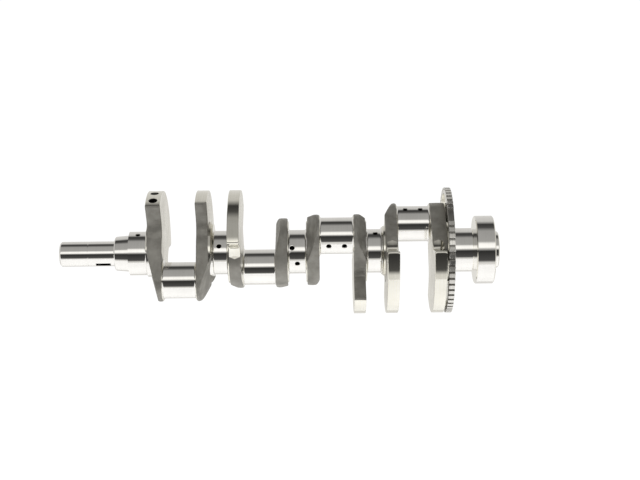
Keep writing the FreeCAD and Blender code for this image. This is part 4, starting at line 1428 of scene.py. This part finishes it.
@dataclass
class TriggerWheel:
    """The toothed wheel for the crank sensor.

    Attributes:
        teeth: How many teeth it has.
        pitch: Angle from tooth to tooth.
        first: Angle of the middle of the first tooth.
        share: Tooth width over pitch.
        tip: Radius over the teeth.
        root: Radius between them.
    """

    teeth: int = 58
    pitch: float = 6.0
    first: float = 65.0
    share: float = 0.66
    tip: float = 93.0
    root: float = 90.0

    def outline(self) -> tuple[np.ndarray, np.ndarray]:
        """Angle and radius of the rim's outline: each pitch goes root, rounded tip, root.

        Returns:
            The angles and radii, eight for each pitch, and the missing teeth stay at the root.
        """
        half = self.pitch * self.share / 2
        turn = np.array([-half, -half, 0.2 - half, 0.0, half - 0.2, half, half, self.pitch / 2])
        height = np.array([0.0, 0.9, 1.0, 1.0, 1.0, 0.9, 0.0, 0.0])
        pitches = np.arange(round(360 / self.pitch))
        turns = self.first + pitches[:, None] * self.pitch + turn
        tall = (pitches < self.teeth)[:, None] * height
        return turns.ravel(), (self.root + (self.tip - self.root) * tall).ravel()

    def build(self, paint: dict[Skin, bpy.types.Material]) -> None:
        """Builds the wheel: rows run up its front, across the rim, down its rear and round the disc and hub.

        Args:
            paint: The finishes' materials.
        """
        front, _ = span_of("trigger_wheel")
        rear = front + 8.7
        turn, outer = self.outline()
        soft = 0.4
        rows = [
            (front, 84.0, 0), (front, 87.0, 0), (front, -soft, 1), (front + soft, 0.0, 1), (front + 3, 0.0, 1)
        ]
        rows += [
            (rear - 3, 0.0, 1), (rear - soft, 0.0, 1), (rear, -soft, 1), (rear, 87.0, 0), (rear, 84.0, 0)
        ]
        rows += [
            (224.4, 83.6, 0), (224.4, 51.5, 0), (224.9, 51.0, 0), (227.4, 51.0, 0), (227.8, 50.6, 0),
            (227.8, 45.0, 0)
        ]
        rows += [(221.0, 45.0, 0), (221.0, 83.6, 0), (front, 84.0, 0)]
        table = np.array(rows)
        radius = table[:, 1:2] + table[:, 2:3] * outer
        y, z = around(turn[None, :], radius)
        grid = np.stack([np.broadcast_to(table[:, 0:1], y.shape), y, z], axis=-1)
        surface = Surface([Skin.MILLED, Skin.SLOT, Skin.TURNED])
        tint = np.zeros((len(rows) - 1, len(turn)), int)
        low = (outer < self.root + 0.1) & (np.roll(outer, -1) < self.root + 0.1)
        tint[2:7, low] = 1
        tint[9:] = 2
        surface.start_shell()
        surface.add_grid(grid, tint)
        finish_piece(surface.build("milled_trigger_wheel", paint), "trigger_wheel")


# ---------------------------------------------------------------- the shaft


@dataclass
class Shaft:
    """The forged shaft: its journals, crankpins and cheeks.

    Attributes:
        pin_turn: Direction of each crankpin.
        pin_x: Middle of each crankpin.
    """

    pin_turn: tuple[float, ...] = (150.0, 240.0, 60.0, 330.0)
    pin_x: tuple[float, ...] = (-172.5, -57.5, 57.5, 172.5)

    def build(self, paint: dict[Skin, bpy.types.Material]) -> None:
        """Builds the journals, crankpins and cheeks from the front.

        Args:
            paint: The finishes' materials.
        """
        mains = [
            (1, [(-235.1, 32.0)], (False, True)), (2, [(-115.0, 72.4)], (True, True)),
            (3, [(0.0, 123.0), (-7.6, 79.5)], (True, True)), (4, [(115.0, 36.8)], (True, True)),
            (5, [(242.8, 298.0)], (True, True)),
        ]
        for number, holes, fillets in mains:
            node = f"main_journal_{number}"
            fillets = (fillets[0] and number != 5, fillets[1] and number != 5)
            Journal(node, 32.5, holes, fillets=fillets).build(paint)
        for number, (turn, x) in enumerate(zip(self.pin_turn, self.pin_x), start=1):
            holes = [(x - 11.3, turn + 66), (x + 11.3, turn + 66)]
            Journal(f"crankpin_{number}", 26.67, holes, turn, 46.0).build(paint)
        for cheek in self.cheeks():
            cheek.build(paint)

    def cheeks(self) -> list[Cheek]:
        """The eight cheeks, with their own bosses, bevels and counterweights.

        Returns:
            The cheeks, from front to rear.
        """
        weights = {
            1: Weight(127, 126, holes=(-131.5, -116.2)), 2: Weight(120, 130),
            3: Weight(78, 124, 6.0, flanks=Skin.TURNED), 6: Weight(78, 124, 6.0),
            7: Weight(120, 130, flanks=Skin.TURNED), 8: Weight(120, 132, relief=5.2, flanks=Skin.TURNED),
        }
        made = []
        for number in range(1, 9):
            pin = (number - 1) // 2
            side = -1 if number % 2 else 1
            length = 22.5 if number in (1, 8) else 18.1
            pin_side = self.pin_x[pin] + side * 25.0
            plain = number in (4, 5)
            bevel = {1: (20.0, 6.5), 7: (43.0, 3.6), 8: None}.get(number, (36.0, 3.6))
            made.append(Cheek(
                f"cheek_{number}" if plain else f"counterweight_{number}", self.pin_turn[pin],
                pin_side + side * length,
                pin_side, 5.4 if number in (2, 7) else 1.6, 37.0 if number == 7 else 45.5,
                50.0 if plain else 46.0,
                bevel, plain, weights.get(number),
            ))
        return made


# ---------------------------------------------------------------- studio


@dataclass(frozen=True)
class Studio:
    """A white studio: a surround graded in broad soft bands, a pale floor, soft lights and the camera.

    Attributes:
        bands: Elevation of each soft band of the surround and its brightness. The elevation is counted in degrees
            from the front, up over the top and down behind; the bands run the shaft's whole length alike.
    """

    bands: tuple[tuple[float, float], ...] = (
        (-180, 0.80), (-112, 0.78), (-45, 0.80), (-37, 0.08), (-4, 0.03), (4, 0.60), (8, 1.20), (20, 1.10),
        (28, 0.40), (66, 0.36), (80, 0.08), (96, 0.04), (112, 0.62), (180, 0.80),
    )

    def build(self) -> None:
        """Builds the surround, the floor, the lights and the camera."""
        self.build_world()
        self.build_floor()
        self.build_lights()
        self.build_camera()

    def build_world(self) -> None:
        """Builds the surround: brightness by elevation atan2(z, -y), and plain white where the camera looks past."""
        world = bpy.data.worlds.new("studio_surround")
        bpy.context.scene.world = world
        world.use_nodes = True
        tree = world.node_tree
        tree.nodes.clear()
        place = add_node(tree, "ShaderNodeTexCoord")
        parts = add_node(tree, "ShaderNodeSeparateXYZ", {0: place.outputs["Generated"]})
        towards = add_node(tree, "ShaderNodeMath", {0: parts.outputs["Y"], 1: -1.0}, operation="MULTIPLY")
        angle = add_node(
            tree, "ShaderNodeMath", {0: parts.outputs["Z"], 1: towards.outputs[0]}, operation="ARCTAN2"
        )
        share = add_node(tree, "ShaderNodeMapRange", {0: angle.outputs[0], 1: -math.pi, 2: math.pi})
        ramp = add_node(tree, "ShaderNodeValToRGB", {0: share.outputs[0]})
        stops = ramp.color_ramp.elements
        for elevation, light in self.bands[1:-1]:
            stops.new((elevation + 180) / 360).color = (light, light * 0.985, light * 0.95, 1)
        for stop, (_, light) in ((stops[0], self.bands[0]), (stops[-1], self.bands[-1])):
            stop.color = (light, light * 0.985, light * 0.95, 1)
        graded = add_node(tree, "ShaderNodeBackground", {"Color": ramp.outputs[0], "Strength": 1.0})
        plain = add_node(tree, "ShaderNodeBackground", {"Color": (1, 1, 1, 1), "Strength": 1.05})
        path = add_node(tree, "ShaderNodeLightPath")
        mix = add_node(
            tree, "ShaderNodeMixShader",
            {0: path.outputs["Is Camera Ray"], 1: graded.outputs[0], 2: plain.outputs[0]}
        )
        add_node(tree, "ShaderNodeOutputWorld", {"Surface": mix.outputs[0]})

    def build_floor(self) -> None:
        """Builds the pale floor, well below the shaft, without shadows and dimmer in reflections than to the eye."""
        material, tree, shader = new_material("pale_floor")
        place = add_node(tree, "ShaderNodeTexCoord")
        cloud = add_node(tree, "ShaderNodeTexNoise", {"Vector": place.outputs["Object"], "Scale": 3.0})
        tone = add_node(tree, "ShaderNodeMapRange", {0: cloud.outputs[0], 3: 0.93, 4: 0.97})
        tree.links.new(tone.outputs[0], shader.inputs["Base Color"])
        shader.inputs["Roughness"].default_value = 0.8
        shader.inputs["Emission Color"].default_value = (1, 1, 1, 1)
        path = add_node(tree, "ShaderNodeLightPath")
        glow = add_node(tree, "ShaderNodeMapRange", {0: path.outputs["Is Camera Ray"], 3: 0.52, 4: 0.85})
        tree.links.new(glow.outputs[0], shader.inputs["Emission Strength"])
        across, along = np.meshgrid(np.linspace(-1.6, 1.6, 17), np.linspace(-0.27, 0.26, 5))
        grid = np.stack([across, along, np.full_like(across, -0.30)], axis=-1)
        mesh = bpy.data.meshes.new("floor")
        index = np.arange(grid.shape[0] * grid.shape[1]).reshape(grid.shape[:2])
        quads = np.stack(
            [index[:-1, :-1], index[:-1, 1:], index[1:, 1:], index[1:, :-1]], axis=-1
        ).reshape(-1, 4)
        mesh.from_pydata(grid.reshape(-1, 3).tolist(), [], quads.tolist())
        mesh.materials.append(material)
        floor = bpy.data.objects.new("floor", mesh)
        bpy.context.scene.collection.objects.link(floor)

    def build_lights(self) -> None:
        """Adds two broad soft lights, one above on the camera's side and one above behind the shaft."""
        for name, place, size, power in (
            ("key", (0.2, -1.1, 1.3), 1.2, 7.0), ("back", (-0.3, 1.2, 1.0), 1.0, 5.0)
        ):
            light = bpy.data.lights.new(f"{name}_light", "AREA")
            light.shape, light.size, light.energy = "SQUARE", size, power
            lamp = bpy.data.objects.new(f"{name}_light", light)
            lamp.location = place
            lamp.rotation_euler = (-Vector(place)).to_track_quat("-Z", "Y").to_euler()
            lamp.visible_glossy = False
            bpy.context.scene.collection.objects.link(lamp)

    def build_camera(self) -> None:
        """Adds the camera: level with the shaft and square to it, rolled by a fraction of a degree."""
        camera = bpy.data.cameras.new("camera")
        camera.lens, camera.sensor_width, camera.clip_start, camera.clip_end = 78.7, 36.0, 0.05, 20.0
        holder = bpy.data.objects.new("camera", camera)
        holder.location = (0.0335, -2.082, 0.017)
        holder.rotation_euler = (math.radians(90), math.radians(0.65), 0.0)
        bpy.context.scene.collection.objects.link(holder)
        bpy.context.scene.camera = holder
        bpy.context.scene.view_settings.view_transform = "Standard"


def main() -> None:
    """Builds every piece in order, from the snout to the pilot bearing, and then the studio."""
    logging.basicConfig(level=logging.INFO, format="%(name)s: %(message)s")
    paint = make_skins()
    Snout().build(paint)
    Shaft().build(paint)
    rear_end = RearEnd()
    rear_end.build(paint)
    PilotBearing().build(paint, rear_end)
    TriggerWheel().build(paint)
    Studio().build()


if __name__ == "__main__":
    main()
